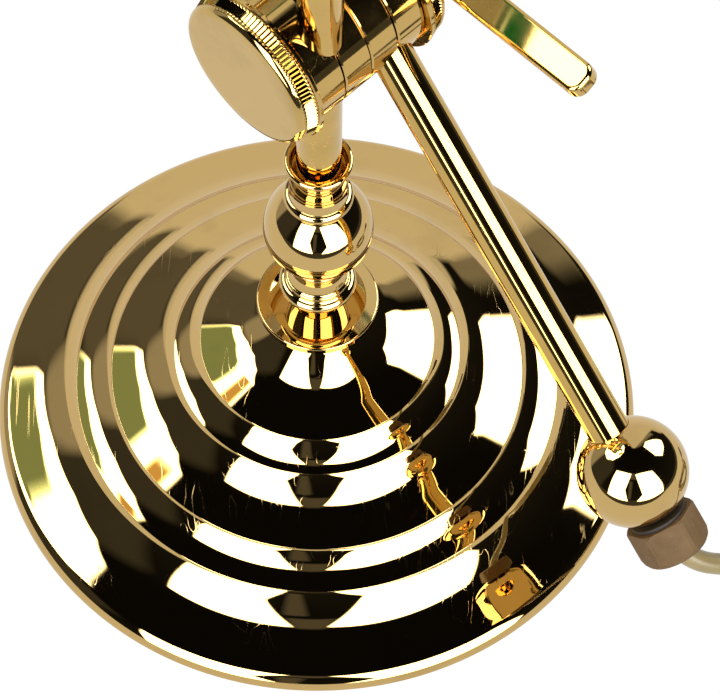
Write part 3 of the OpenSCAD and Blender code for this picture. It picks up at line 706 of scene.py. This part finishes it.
ang = np.arange(-90, 2160.01, 2.0)
rad = TURN_R - PITCH * (ease(ang, 195, 270) + ease(ang, 555, 630) - ease(ang, 1130, 1205) - ease(ang, 1490, 1565))
hgt = LOW + PITCH * (ease(ang, 870, 945) + ease(ang, 1805, 1880))
coil = np.stack([COIL[0] + rad * np.cos(np.radians(ang)), COIL[1] + rad * np.sin(np.radians(ang)), hgt], -1)
TAIL = [(287, -28, 16.5), (286.8, -19, 14.7), (286.4, -10, 12.2), (285.8, -1, 9.8), (285.3, 8, 7.9), (285, 17, 7.1), (285, 26, 7), (285, 33, 7)]
lead = spline(LEAD, 1.0)
tail = spline([coil[-3], coil[-2], coil[-1]] + [np.array(p, float) for p in TAIL], 1.0)
whole = np.concatenate([lead[:-1], coil[:-3], tail])
whole = relax(even(whole, 1.25), 6)
whole = even(whole, 1.25)
run = np.concatenate([[0], np.cumsum(np.linalg.norm(np.diff(whole, axis=0), axis=1))])
CORD_LENGTH = float(run[-1]) * MM
print("cord length", round(CORD_LENGTH, 4))


def at(s):
    i = int(np.argmin(np.abs(run - s)))
    return i, tuple(float(x) * MM for x in whole[i])


cuts = [0.0, 27.0, 50.0, 73.0]
idx = [at(s)[0] for s in cuts]
for k, (name, a, b) in enumerate((("cord_at_gland", "arm", "arm_clamp"), ("cord_upper", "arm_clamp", "post_clamp"), ("cord_lower", "post_clamp", "slider"))):
    i0, i1 = idx[k], idx[k + 1]
    bit = tube(name, whole[i0:i1 + 1], CORD_R, n=24, cap0=(k == 0), cap1=False)
    dress(bit, M_CORD, a, ride=False)
    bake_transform(bit)
cord = tube("cord", whole[idx[3]:], CORD_R, n=20, cap0=False, cap1=True)
dress(cord, M_CORD, "stand", ride=False)
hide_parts("cord_lead", "cord_coil", "cord_tail")
# it turns over on the way to the coil, and no turn of the coil lies before the end of the blend
p0 = whole[idx[3]]
away = np.array([COIL[0] - p0[0], COIL[1] - p0[1], 0.0])
away /= np.linalg.norm(away)
away = away * math.cos(math.radians(38)) - np.array([0, 0, math.sin(math.radians(38))])
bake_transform(cord)

# plug, its sleeve and the tie
PLUG = (285.0, 32.0)
sleeve_prof = [(CORD_R + 0.05, 0.0), (4.5, 0.0)]
for i in range(5):
    z = 2.2 + 3.4 * i
    r0 = 4.55 + 0.066 * z
    sleeve_prof += [(r0, z), (r0 - 0.7, z + 0.35), (r0 - 0.7, z + 1.0), (r0 + 0.08, z + 1.35)]
sleeve_prof += [(6.2, 21.0), (6.2, 24.0), (CORD_R + 0.05, 24.0)]
sleeve = lathe("plug_strain_relief", sleeve_prof, T(PLUG[0], PLUG[1] - 6, 7) @ R(-90, "X"), n=96, soft=0.25)
dress(sleeve, M_BLACK, "stand", ("plug_sleeve",))

W2, L2 = 35.3 / 2, 35.0
plan = [(-8, 0.1), (-W2, 13), (-W2, L2 - 2), (-W2 + 2, L2), (W2 - 2, L2), (W2, L2 - 2), (W2, 13), (8, 0.1)]
plug = prism("plug_body", plan, 0.0, 13.8, T(PLUG[0], PLUG[1] + 18.1, 0.1))
for ob_edges in (0,):
    bm = bmesh.new()
    bm.from_mesh(plug.data)
    bmesh.ops.recalc_face_normals(bm, faces=bm.faces)
    upright = [e for e in bm.edges if abs(e.verts[0].co.z - e.verts[1].co.z) > 0.01]
    bmesh.ops.bevel(bm, geom=upright, offset=2.4 * MM, segments=5, affect="EDGES", profile=0.5, clamp_overlap=True)
    bm.to_mesh(plug.data)
    bm.free()
bevel(plug, 2.2, 5, 60)
# shallow finger grooves across both broad faces
for zc in (0.1 - 0.55, 13.9 + 0.55):
    for k in range(5):
        g = lathe("groove", [(0, -9.5), (1.2, -9.5), (1.2, 9.5), (0, 9.5)], T(PLUG[0], PLUG[1] + 18.1 + 12 + 3.2 * k, zc) @ R(90, "Y"), n=24, closed=False, soft=0.6)
        combine(plug, g, "DIFFERENCE")
smooth(plug, 38)
dress(plug, M_BLACK, "stand", ("mains_plug",))
for k, m in enumerate((-1, 1)):
    p = lathe(f"plug_pin_{k + 1}", [(0, 0), (1.9, 0), (1.9, 11.0), (2.0, 11.2), (2.0, 27.2), (1.85, 28.0), (1.2, 28.7), (0, 28.8)], T(PLUG[0] + m * 9.3, PLUG[1] + 18.1 + L2 - 9.8, 7) @ R(-90, "X"), n=48, closed=False, soft=0.3)
    dress(p, M_PIN, "stand", ("plug_pins",))


def hull(points):
    pts = sorted(set((round(x, 4), round(y, 4)) for x, y in points))
    def half(ps):
        h = []
        for p in ps:
            while len(h) > 1 and (h[-1][0] - h[-2][0]) * (p[1] - h[-2][1]) - (h[-1][1] - h[-2][1]) * (p[0] - h[-2][0]) <= 0:
                h.pop()
            h.append(p)
        return h[:-1]
    return half(pts) + half(pts[::-1])


def resample(loop, n):
    L = np.array(loop + [loop[0]], float)
    d = np.concatenate([[0], np.cumsum(np.linalg.norm(np.diff(L, axis=0), axis=1))])
    t = np.linspace(0, d[-1], n, endpoint=False)
    return np.stack([np.interp(t, d, L[:, i]) for i in range(2)], -1)


cells = [(31.3, 3.45), (38.15, 3.45), (45, 3.45), (31.3, 10.3), (38.15, 10.3), (45, 10.3), (45, 17.15)]
ring_in = hull([(c[0] + 3.45 * math.cos(a), max(0.3, c[1] + 3.45 * math.sin(a))) for c in cells for a in np.linspace(0, 2 * math.pi, 48)])
TN = 160
inner = resample(ring_in, TN)
cen = inner.mean(axis=0)
tang = np.roll(inner, -1, axis=0) - np.roll(inner, 1, axis=0)
tang /= np.linalg.norm(tang, axis=1)[:, None]
outn = np.stack([tang[:, 1], -tang[:, 0]], -1)
tie_M = T(COIL[0], COIL[1], 0) @ R(-45, "Z")
sect = [(0.0, -4.2), (0.0, 4.2), (0.35, 4.6), (0.9, 4.6), (1.2, 4.2), (1.25, 3.0), (1.05, 2.6), (1.05, -2.6), (1.25, -3.0), (1.2, -4.2), (0.9, -4.6), (0.35, -4.6)]
TV, TF = [], []
for i in range(TN):
    for o, w in sect:
        p = inner[i] + outn[i] * o
        TV.append((p[0], w, max(0.02, p[1])))
k = len(sect)
for i in range(TN):
    for j in range(k):
        a, b = i * k + j, i * k + (j + 1) % k
        c, d = ((i + 1) % TN) * k + (j + 1) % k, ((i + 1) % TN) * k + j
        TF.append((a, b, c, d))
tie = mesh_object("cord_tie_band", TV, TF, tie_M)
bm = bmesh.new()
bm.from_mesh(tie.data)
bmesh.ops.recalc_face_normals(bm, faces=bm.faces)
bm.to_mesh(tie.data)
bm.free()
smooth(tie, 50, weighted=False)
dress(tie, M_BLACK, "stand", ("cord_tie",))

# ------------------------------------------------------------------ floor and light
def smooth_window(world, vec, corners, soft=0.03):
    """1 inside a patch of the sky whose corners are (azimuth, elevation), 0 outside."""
    P = []
    for a, e in corners:
        a, e = math.radians(a), math.radians(e)
        P.append(Vector((math.sin(a) * math.cos(e), -math.cos(a) * math.cos(e), math.sin(e))))
    mid = sum(P, Vector()).normalized()
    total = None
    for i in range(len(P)):
        m = P[i].cross(P[(i + 1) % len(P)]).normalized()
        if m.dot(mid) < 0:
            m = -m
        dot = world.node("ShaderNodeVectorMath", operation="DOT_PRODUCT")
        world.link(vec, dot.inputs[0])
        dot.inputs[1].default_value = m
        f = world.rng(dot.outputs["Value"], -soft, soft, 0.0, 1.0, smooth=True)
        total = f if total is None else world.math("MULTIPLY", total, f)
    return total


class World(Mat):
    def __init__(self):
        self.w = bpy.data.worlds.new("studio")
        self.w.use_nodes = True
        self.t = self.w.node_tree
        self.t.nodes.clear()
        self.co = self.t.nodes.new("ShaderNodeTexCoord").outputs["Generated"]


wd = World()
scene.world = wd.w
vec = wd.co
sep = wd.node("ShaderNodeSeparateXYZ")
wd.link(vec, sep.inputs[0])
X, Y, Z = sep.outputs
WINDOW = 6.5


def patch(corners, soft=0.012):
    return smooth_window(wd, vec, corners, soft)


def paint(level, value, *corner_lists, soft=0.012):
    for corners in corner_lists:
        level = wd.math("MAXIMUM", level, wd.math("MULTIPLY", patch(corners, soft), value))
    return level


# a dark room: nearly black overhead and in front, brown at the left
level = wd.rng(Z, 0.0, 0.85, 0.012, 0.004)
level = wd.math("MAXIMUM", level, wd.rng(Z, -0.02, 0.0, 0.06, 0.0))
level = paint(level, 0.05, [(-128, 50), (-62, 42), (-62, -2), (-128, -2)], soft=0.10)
level = paint(level, 0.13, [(-162, 48), (-140, 44), (-126, 30), (-126, 8), (-162, 8)], soft=0.08)
# the paper sweep behind the lamp, narrower higher up
sweep = [(157, -20), (157, 45), (172, 70), (-172, 70), (-158, 45), (-158, -20)]
level = paint(level, 0.80, sweep, soft=0.03)
level = paint(level, 0.30, [(-175, 20), (-175, 66), (-152, 57), (-151, 50), (-157, 20)], soft=0.05)
level = paint(level, 0.28, [(175, 20), (175, 70), (152, 62), (151, 48), (150, 20)], soft=0.05)
level = paint(level, 0.72, [(-160, 16), (-128, 5), (-100, 1), (-100, -20), (-160, -20)], soft=0.06)
level = paint(level, 0.42, [(-129, 27), (-110, 30), (-100, 10), (-98, -12), (-132, -12)], soft=0.08)
level = paint(level, 0.72, [(158, 12), (148, 4), (148, -20), (165, -20)], soft=0.04)
# two tall windows in front, parted by a figure on a stand
level = paint(level, WINDOW, [(-57, 48), (-30, 55), (-8, 56), (-17, 20), (-49, 18)], [(-49, 19), (-17, 21), (-9, -3), (-46, -3)],
              [(5, 56), (30, 55), (60, 48), (61, 10), (18, 10)], [(18, 11), (61, 11), (57, -3), (7, -3)])
level = paint(level, 0.10, [(-8, 57), (5, 57), (9, 44), (-10, 44)], [(-11, 40), (-2, 40), (-4, 2), (-9, 2)], soft=0.03)
# windows behind, at the right and the left
level = paint(level, WINDOW, [(104, 49), (122, 56), (142, 61), (150, 48), (142, 27), (137, 17), (128, 20), (107, 31)])
level = paint(level, WINDOW, [(-129, 30), (-112, 30), (-97, 36), (-89, 48), (-97, 62), (-122, 67), (-140, 62), (-150, 52)])
green = patch([(-147, 49), (-134, 58), (-119, 58), (-114, 51), (-121, 41), (-134, 38)], 0.02)
lp = wd.node("ShaderNodeLightPath")
seen = lp.outputs["Is Camera Ray"]
level = wd.math("ADD", wd.math("MULTIPLY", level, wd.math("SUBTRACT", 1.0, wd.math("MULTIPLY", green, 0.935))), 0.0)
ochre = patch([(-122, 64), (-115, 66), (-102, 61), (-108, 58)], 0.015)
level = wd.math("MULTIPLY", level, wd.math("SUBTRACT", 1.0, wd.math("MULTIPLY", ochre, 0.86)))
level = wd.math("ADD", wd.math("MULTIPLY", level, wd.math("SUBTRACT", 1.0, seen)), seen)
tint = wd.mix(wd.math("MULTIPLY", green, wd.math("SUBTRACT", 1.0, seen)), (1, 1, 1, 1), (0.72, 1.0, 0.62, 1))
tint = wd.mix(wd.math("MULTIPLY", ochre, wd.math("SUBTRACT", 1.0, seen)), tint, (1.0, 0.66, 0.26, 1))
bg = wd.node("ShaderNodeBackground")
wd.link(tint, bg.inputs["Color"])
wd.link(level, bg.inputs["Strength"])
wo = wd.node("ShaderNodeOutputWorld")
wd.link(bg.outputs[0], wo.inputs["Surface"])

floor = mesh_object("floor", [(-1500, -480, -0.05), (900, -480, -0.05), (900, 6000, -0.05), (-1500, 6000, -0.05)], [(0, 1, 2, 3)])
fm = Mat("floor_paper")
fm.t.nodes.remove(fm.b)
em = fm.node("ShaderNodeEmission")
em.inputs["Color"].default_value = (1, 1, 1, 1)
grain = fm.rng(fm.noise(900, detail=3), 0.3, 0.7, 1.0, 1.03)
# the sweep behind and beside the lamp is less bright than the table in front of it
pos = fm.node("ShaderNodeSeparateXYZ")
fm.link(fm.node("ShaderNodeNewGeometry").outputs["Position"], pos.inputs[0])
behind = fm.rng(pos.outputs[1], -0.10, 0.25, 0.80, 0.82, smooth=True)
seen = fm.node("ShaderNodeLightPath").outputs["Is Camera Ray"]
shade = fm.math("ADD", fm.math("MULTIPLY", behind, fm.math("SUBTRACT", 1.0, seen)), seen)
fm.link(fm.math("MULTIPLY", grain, shade), em.inputs["Strength"])
fm.link(em.outputs[0], fm.out.inputs["Surface"])
floor.data.materials.append(fm.m)

# ------------------------------------------------------------------ foot and spindle
RIM = [(96.8 + 5.5 * math.cos(math.radians(75 * i / 20)), 1.3 + 5.5 * math.sin(math.radians(75 * i / 20))) for i in range(21)]
CREASE = [RIM[-1], (77, 20.3), (65.7, 27.7), (45.5, 40.1), (37.2, 47.6), (12.5, 62.8)]
STEEP = [(20, 20, 35, 50, 62), (14, 25, 36, 45, 68), (18, 19.5, 34, 47, 62), (25, 33, 48, 54, 62), (16.5, 17.5, 35, 47, 66)]


def cove(a, b, c, n, d=0.0):
    slope = lambda f: math.radians(float(np.interp(f, (0, 0.3, 0.6, 0.85, 1), c)))
    w = [(0.0, 0.0)]
    for i in range(n):
        s = slope((i + 0.5) / n)
        w.append((w[-1][0] + math.cos(s), w[-1][1] + math.sin(s)))
    t = math.atan2(b[1] - a[1], a[0] - b[0]) - math.atan2(w[n][1], w[n][0])
    k = math.dist(a, b) / math.hypot(*w[n])
    out = []
    for i in range(n):
        x, y = w[i]
        s = slope(i / n) + t
        out.append((a[0] - k * (x * math.cos(t) - y * math.sin(t)) - d * math.sin(s), a[1] + k * (x * math.sin(t) + y * math.cos(t)) - d * math.cos(s)))
    return out


top = [p for k in range(5) for p in cove(CREASE[k], CREASE[k + 1], STEEP[k], 34)]
under = [p for k in range(5) for p in cove(CREASE[k], CREASE[k + 1], STEEP[k], 4, 1.2)]
under = [p for i, p in enumerate(under) if i == 0 or (p[0] < under[i - 1][0] - 0.05 and p[1] > under[i - 1][1] + 0.02)]
foot_prof = [(101.6, 0.8), (102.1, 1.0)] + RIM[:-1] + top + [(12.5, 62.8), (11.5, 62.8), (11.5, 60.6)] + under[:0:-1] + [(98.5, 1.2), (98.7, 0.8)]
foot = lathe("foot_shell", foot_prof, HOME, n=512, soft=0.3, amin=14)
dress(foot, M_FOOT, "stand", ("base_shell",))

flange = lathe("flange_ring", [(4.05, 58.4), (11.4, 58.4), (11.4, 62.8), (12.4, 62.8)] + bend([(12.4, 62.8), (12.7, 64.2), (13.7, 66.6), (15.7, 69), (18.6, 70.6)], 24)[1:] + arc((18.7, 71.2), 0.6, -80, 0, 6) + arc((18.7, 72.8), 0.6, 0, 90, 8)
               + [(15.4, 73.4), (15.1, 73.25), (6.85, 71.04), (6.85, 59.6), (4.05, 59.6)], HOME, n=256, soft=0.12)
dress(flange, M_TURN, "stand", ("flange_dish",))
collar = lathe("spindle_neck", [(4.05, 59.6), (6.8, 59.6), (6.7, 78.6), (7.2, 79.6), (8.4, 80.8), (9.2, 82.2)]
               + arc((10.05, 84.6), 2.15, -90, 74, 24) + [(10.3, 87.0), (9.9, 87.2)] + arc((9.4, 88.1), 0.7, -50, 80, 10)
               + [(9.0, 89.4), (8.3, 91), (7.9, 93), (7.9, 94.8), (8.3, 96.2)] + arc((8.3, 97.6), 0.8, -60, 80, 10)
               + arc((8.1, 99.7), 0.8, -50, 80, 10) + [(7.8, 101.2), (7.6, 102.0), (4.05, 102.0)], HOME, n=256, soft=0.2)
dress(collar, M_TURN, "stand", ("spindle_collar",))
BZ, BR = 117.4, 17.3
lo_a, hi_a = -math.degrees(math.asin(15.4 / BR)), math.degrees(math.asin(15.5 / BR))
sball = lathe("spindle_sphere", [(4.05, 102.0)] + arc((0, BZ), BR, lo_a, hi_a, 96) + [(4.05, 132.9)], HOME, n=256, soft=0.1)
dress(sball, M_TURN, "stand", ("spindle_ball",))
bead = lathe("spindle_ring", [(4.05, 132.9), (8.0, 132.9), (8.3, 133.9)] + arc((9.0, 136.4), 2.03, -75, 75, 24) + [(9.6, 138.8), (4.05, 138.8)], HOME, n=256, soft=0.15)
dress(bead, M_TURN, "stand", ("spindle_bead",))
cup = lathe("spindle_socket", [(4.05, 138.8), (9.6, 138.8), (9.5, 140), (9.3, 142), (9.25, 144.2), (9.35, 147), (9.6, 150), (9.95, 153), (10.4, 155.3)]
            + arc((9.75, 156.3), 1.15, -20, 200, 28) + [(8.55, 154.4), (8.4, 153), (7.12, 152.6), (7.12, 146.0), (4.05, 146.0)], HOME, n=256, soft=0.15)
dress(cup, M_TURN, "stand", ("spindle_cup",))
post = lathe("post", [(4.1, 146), (7.1, 146), (7.1, 316), (5.9, 316), (5.9, 158.4), (4.1, 158.4)], HOME, n=256, soft=0.2)
dress(post, M_TUBE, "stand", ("post_tube",))
PT = 316
finial = lathe("finial", [(0, PT - 8), (5.85, PT - 8), (5.85, PT), (8.7, PT)] + arc((8.1, PT + 1.5), 1.3, -40, 60, 10) + [(6.4, PT + 3.2), (5.2, PT + 4.6)] + arc((0, PT + 11), 8.2, -52, 90, 40)[:-1] + [(0, PT + 19.2)], HOME, n=192, closed=False, soft=0.3)
dress(finial, M_TURN, "stand", ("post_finial",))

# ------------------------------------------------------------------ clamps
def drum(name, x0, x1, c0, c1):
    prof = [(0, x0), (24.3 - c0, x0), (24.3, x0 + c0), (24.3, x1 - c1), (24.3 - c1, x1), (0, x1)]
    return lathe(name, prof, on_axis(0), n=288, closed=False, soft=0.12)


def rod(r, z0, z1, M, n=192):
    return lathe("cutter", [(0, z0), (r, z0), (r, z1), (0, z1)], M, n=n, closed=False, soft=0)


DRUM_AX = on_axis(0)
for name, node, x0, x1, c0, c1, body, bores in (
        ("drum_outer", "post_clamp_outer", -11.5, -0.22, 0.3, 0.5, "post_clamp", "post"),
        ("drum_inner", "post_clamp_inner", 0.22, 10.88, 0.5, 0.5, "post_clamp", "post"),
        ("drum_arm_inner", "arm_clamp_inner", 11.12, 21.78, 0.5, 0.5, "arm_clamp", "arm"),
        ("drum_arm_outer", "arm_clamp_outer", 22.22, 33.0, 0.5, 0.3, "arm_clamp", "arm")):
    ob = drum(name, x0, x1, c0, c1)
    bolt = 2.52 if bores == "post" else 2.55
    combine(ob, rod(bolt, -30, 60, DRUM_AX, 64), "DIFFERENCE")
    rounds = [(DRUM_AX, 24.3, 1), (DRUM_AX, bolt, -1)]
    if bores == "post":
        combine(ob, rod(7.22, -40, 40, CLAMP), "DIFFERENCE")
        combine(ob, rod(8.05, -11.5, 11.5, CLAMP), "DIFFERENCE")
        rounds += [(CLAMP, 7.22, -1), (CLAMP, 8.05, -1)]
        if x0 < 0:
            combine(ob, rod(9.0, -20, -10.5, DRUM_AX, 96), "DIFFERENCE")
        else:
            combine(ob, rod(18.0, 10.2, 14, DRUM_AX, 128), "DIFFERENCE")
    else:
        combine(ob, rod(6.80, -40, 40, ARM), "DIFFERENCE")
        rounds += [(ARM, 6.80, -1)]
    true_normals(ob, rounds)
    dress(ob, M_DRUM, body, (node,))

TEETH = 107


def knob(name, M, node, body, mirror, teeth=TEETH):
    prof = [(2.55, 0), (26.7, 0), (27.0, 0.3), (27.0, 1.3), (26.3, 1.7), (26.3, 2.0), (26.6, 2.1), (26.6, 2.25), (26.5, 2.4)]
    prof += [(26.4 - 0.9 * i / 12, 2.7 + 2.9 * i / 12) for i in range(13)]
    prof += arc((22.7, 5.9), 2.8, 4, 72, 22) + [(22.9, 8.57), (22.4, 8.62), (21.8, 8.66), (21.0, 8.7), (20.6, 8.7), (0, 8.7), (0, 6.6), (2.55, 6.6)]
    k = 1 if mirror is False else -1

    def teeth_r(th, r, z):
        w = max(0.0, min(1.0, (z - 2.05) / 0.25)) * (1 - max(0.0, min(1.0, (z - 5.5) / 1.2)))
        if w <= 0 or r < 22:
            return r
        x = np.abs(np.mod(th * teeth / (2 * np.pi), 1.0) - 0.5) * 2
        return r - 0.62 * w * x
    if mirror:
        prof = [(r, -z) for r, z in prof]
        f = lambda th, r, z: teeth_r(th, r, -z)
    else:
        f = teeth_r
    ob = lathe(name, prof, M, n=teeth * 8, closed=True, soft=0.0, mod=f)
    smooth(ob, 42)
    return dress(ob, M_KNOB, body, (node,))


knob("knob_large", on_axis(-11.7), "large_knob", "clamp_knob", True)
knob("knob_right", on_axis(33.2), "right_knob", "tilt_knob", False)

washer = lathe("lever_spacer", [(2.55, 0), (6.5, 0), (6.5, 2.2), (2.55, 2.2)], on_axis(41.95), n=128, soft=0.3)
dress(washer, M_TURN, "lever", ("lever_washer",)) if nodes["lever_washer"]["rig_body"] == "lever" else dress(washer, M_TURN, nodes["lever_washer"]["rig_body"], ("lever_washer",))

# locking lever: boss and flat bar with a rounded tip
LEV = CLAMP @ T(44.5, 12.55, 0) @ R(-6, "X")
LL, LW, LT = 78.0, 10.8, 7.0
TURNED = LEV @ T(LW / 2, 0, 0) @ R(-22, "Y") @ T(-LW / 2, 0, 0)
tip = [(LW, -6.8), (0, -6.8)] + [(4.2 - 4.2 * math.cos(math.radians(a)), -LL + 4.2 - 4.2 * math.sin(math.radians(a))) for a in range(0, 91, 6)] \
    + [(LW - 4.2 + 4.2 * math.sin(math.radians(a)), -LL + 4.2 - 4.2 * math.cos(math.radians(a))) for a in range(0, 91, 6)]
bar = prism("lever", tip, -LT / 2, LT / 2, TURNED)
bm = bmesh.new()
bm.from_mesh(bar.data)
bmesh.ops.remove_doubles(bm, verts=bm.verts, dist=1e-7)
bmesh.ops.recalc_face_normals(bm, faces=bm.faces)
bm.to_mesh(bar.data)
bm.free()
bevel(bar, 1.5, 7, 60)
boss = lathe("boss", [(0, 0), (8.0, 0), (8.0, LW), (0, LW)], LEV @ R(90, "Y"), n=128, closed=False, soft=0.5)
combine(bar, boss, "UNION")
combine(bar, rod(2.55, -2, 14, LEV @ R(90, "Y"), 64), "DIFFERENCE")
smooth(bar, 35)
dress(bar, M_TUBE, "lever", ("lock_lever",))

nut = prism("cap_nut_dome", [(6.3 * math.cos(math.radians(a)), 6.3 * math.sin(math.radians(a))) for a in range(0, 360, 60)], 0, 4, on_axis(55.45))
bevel(nut, 0.4, 3, 30)
dome = lathe("dome", [(0, 3.0), (5.2, 3.0)] + arc((0, 4), 5.2, 0, 88, 24) + [(0, 9.2)], on_axis(55.45), n=128, closed=False, soft=0)
combine(nut, dome, "UNION")
combine(nut, rod(2.52, -1, 5.1, on_axis(55.45), 48), "DIFFERENCE")
smooth(nut, 35)
dress(nut, M_TURN, nodes["cap_nut"]["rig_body"], ("cap_nut",))

# ------------------------------------------------------------------ arm
arm = lathe("arm", [(5.55, -191), (6.75, -191), (6.75, 169.3), (5.55, 169.3)], ARM, n=256, soft=0.2)
dress(arm, M_TUBE, "arm", ("arm_tube",))
b0, b1 = -math.degrees(math.acos(6.76 / 17.6)), math.degrees(math.acos(6.02 / 17.6))
ball = lathe("counterweight", arc((0, 0), 17.6, b0, b1, 120) + [(6.02, 10.5), (4.2, 10.5), (4.2, -12.0), (6.76, -12.0)], ARM @ T(0, 0, 181.3), n=256, soft=0.12)
dress(ball, M_TURN, "arm", ("counterweight_ball",))
neck = lathe("gland_collar", [(3.62, 0), (6.0, 0), (6.0, 6.6), (9.4, 6.6), (9.4, 7.8), (3.62, 7.8)], ARM @ T(0, 0, 191.3), n=96, soft=0.2)
dress(neck, M_NECK, "arm", ("gland_neck",))
GL = ARM @ T(0, 0, 199.1)
gl = 13.4
gland = prism("gland", [(12.1 * math.cos(math.radians(a + 30)), 12.1 * math.sin(math.radians(a + 30))) for a in range(0, 360, 60)], 0, gl, GL)
turned = lathe("turned", [(0, 0), (11.1, 0), (11.7, 0.8), (11.7, gl - 3.2), (11.2, gl - 1.6), (10.2, gl - 0.5), (8.8, gl), (0, gl)], GL, n=128, closed=False, soft=0.4)
combine(gland, turned, "INTERSECT")
combine(gland, rod(3.62, -1, 14.4, GL, 64), "DIFFERENCE")
mouth = lathe("mouth", [(0, gl - 6.5), (3.6, gl - 6.5), (5.8, gl + 0.1), (5.8, gl + 2), (0, gl + 2)], GL, n=64, closed=False, soft=0)
combine(gland, mouth, "DIFFERENCE")
bevel(gland, 0.4, 3, 22)
smooth(gland, 35)
dress(gland, M_GLAND, "arm", ("cord_gland",))

# ------------------------------------------------------------------ head
refine("arm_knuckle", "knuckle", M_HEAD, 0.5)
refine("shade_yoke", "yoke", M_HEAD, 0.5)
refine("shade_bracket", "bracket_strap", M_HEAD, 0.35)
refine("holder_plate", "holder_strap", M_HEAD, 0.3)


def shoulder(r0, l0, c, n=24):
    return [(0, -l0)] + arc((r0 - c, -l0 + c), c, -90, 0, n) + arc((r0 - c, l0 - c), c, 0, 90, n) + [(0, l0)]


SH = HEAD @ T(0, 0, 17) @ R(90, "Y")
glass = lathe("shade_outer_glass", shoulder(62, 113, 20) + shoulder(59.6, 110.6, 17.6)[::-1], SH, n=128, th0=90, th1=270, soft=0)
dress(glass, M_GREEN, "head", ("shade_glass",))
lining = lathe("shade_inner_glass", shoulder(59.55, 110.55, 17.6) + shoulder(58, 109, 16)[::-1], SH, n=128, th0=90, th1=270, soft=0)
dress(lining, M_OPAL, "head", ("shade_lining",))

plain = {
    "felt_pad": M_FELT, "bottom_plate": M_STEEL, "base_weight": M_IRON, "centre_rod": M_STEEL, "rod_nut": M_STEEL, "rod_washer": M_STEEL,
    "clamp_liner": M_NYLON, "clamp_bolt": M_STEEL, "knob_washer": M_FIBRE, "friction_washer": M_FIBRE, "arm_cable": M_CABLE,
    "pivot_pin": M_HEAD, "pivot_nuts": M_HEAD, "holder_nipple": M_STEEL, "holder_nut": M_HEAD, "shade_screws": M_HEAD, "shade_nuts": M_HEAD,
    "lampholder": M_PORC, "holder_ring": M_HEAD, "bulb_cap": M_PIN, "bulb": M_BULB, "switch_key": M_HEAD}
for name, mat in plain.items():
    ob = nodes[name]
    ob.data.materials.clear()
    ob.data.materials.append(mat)
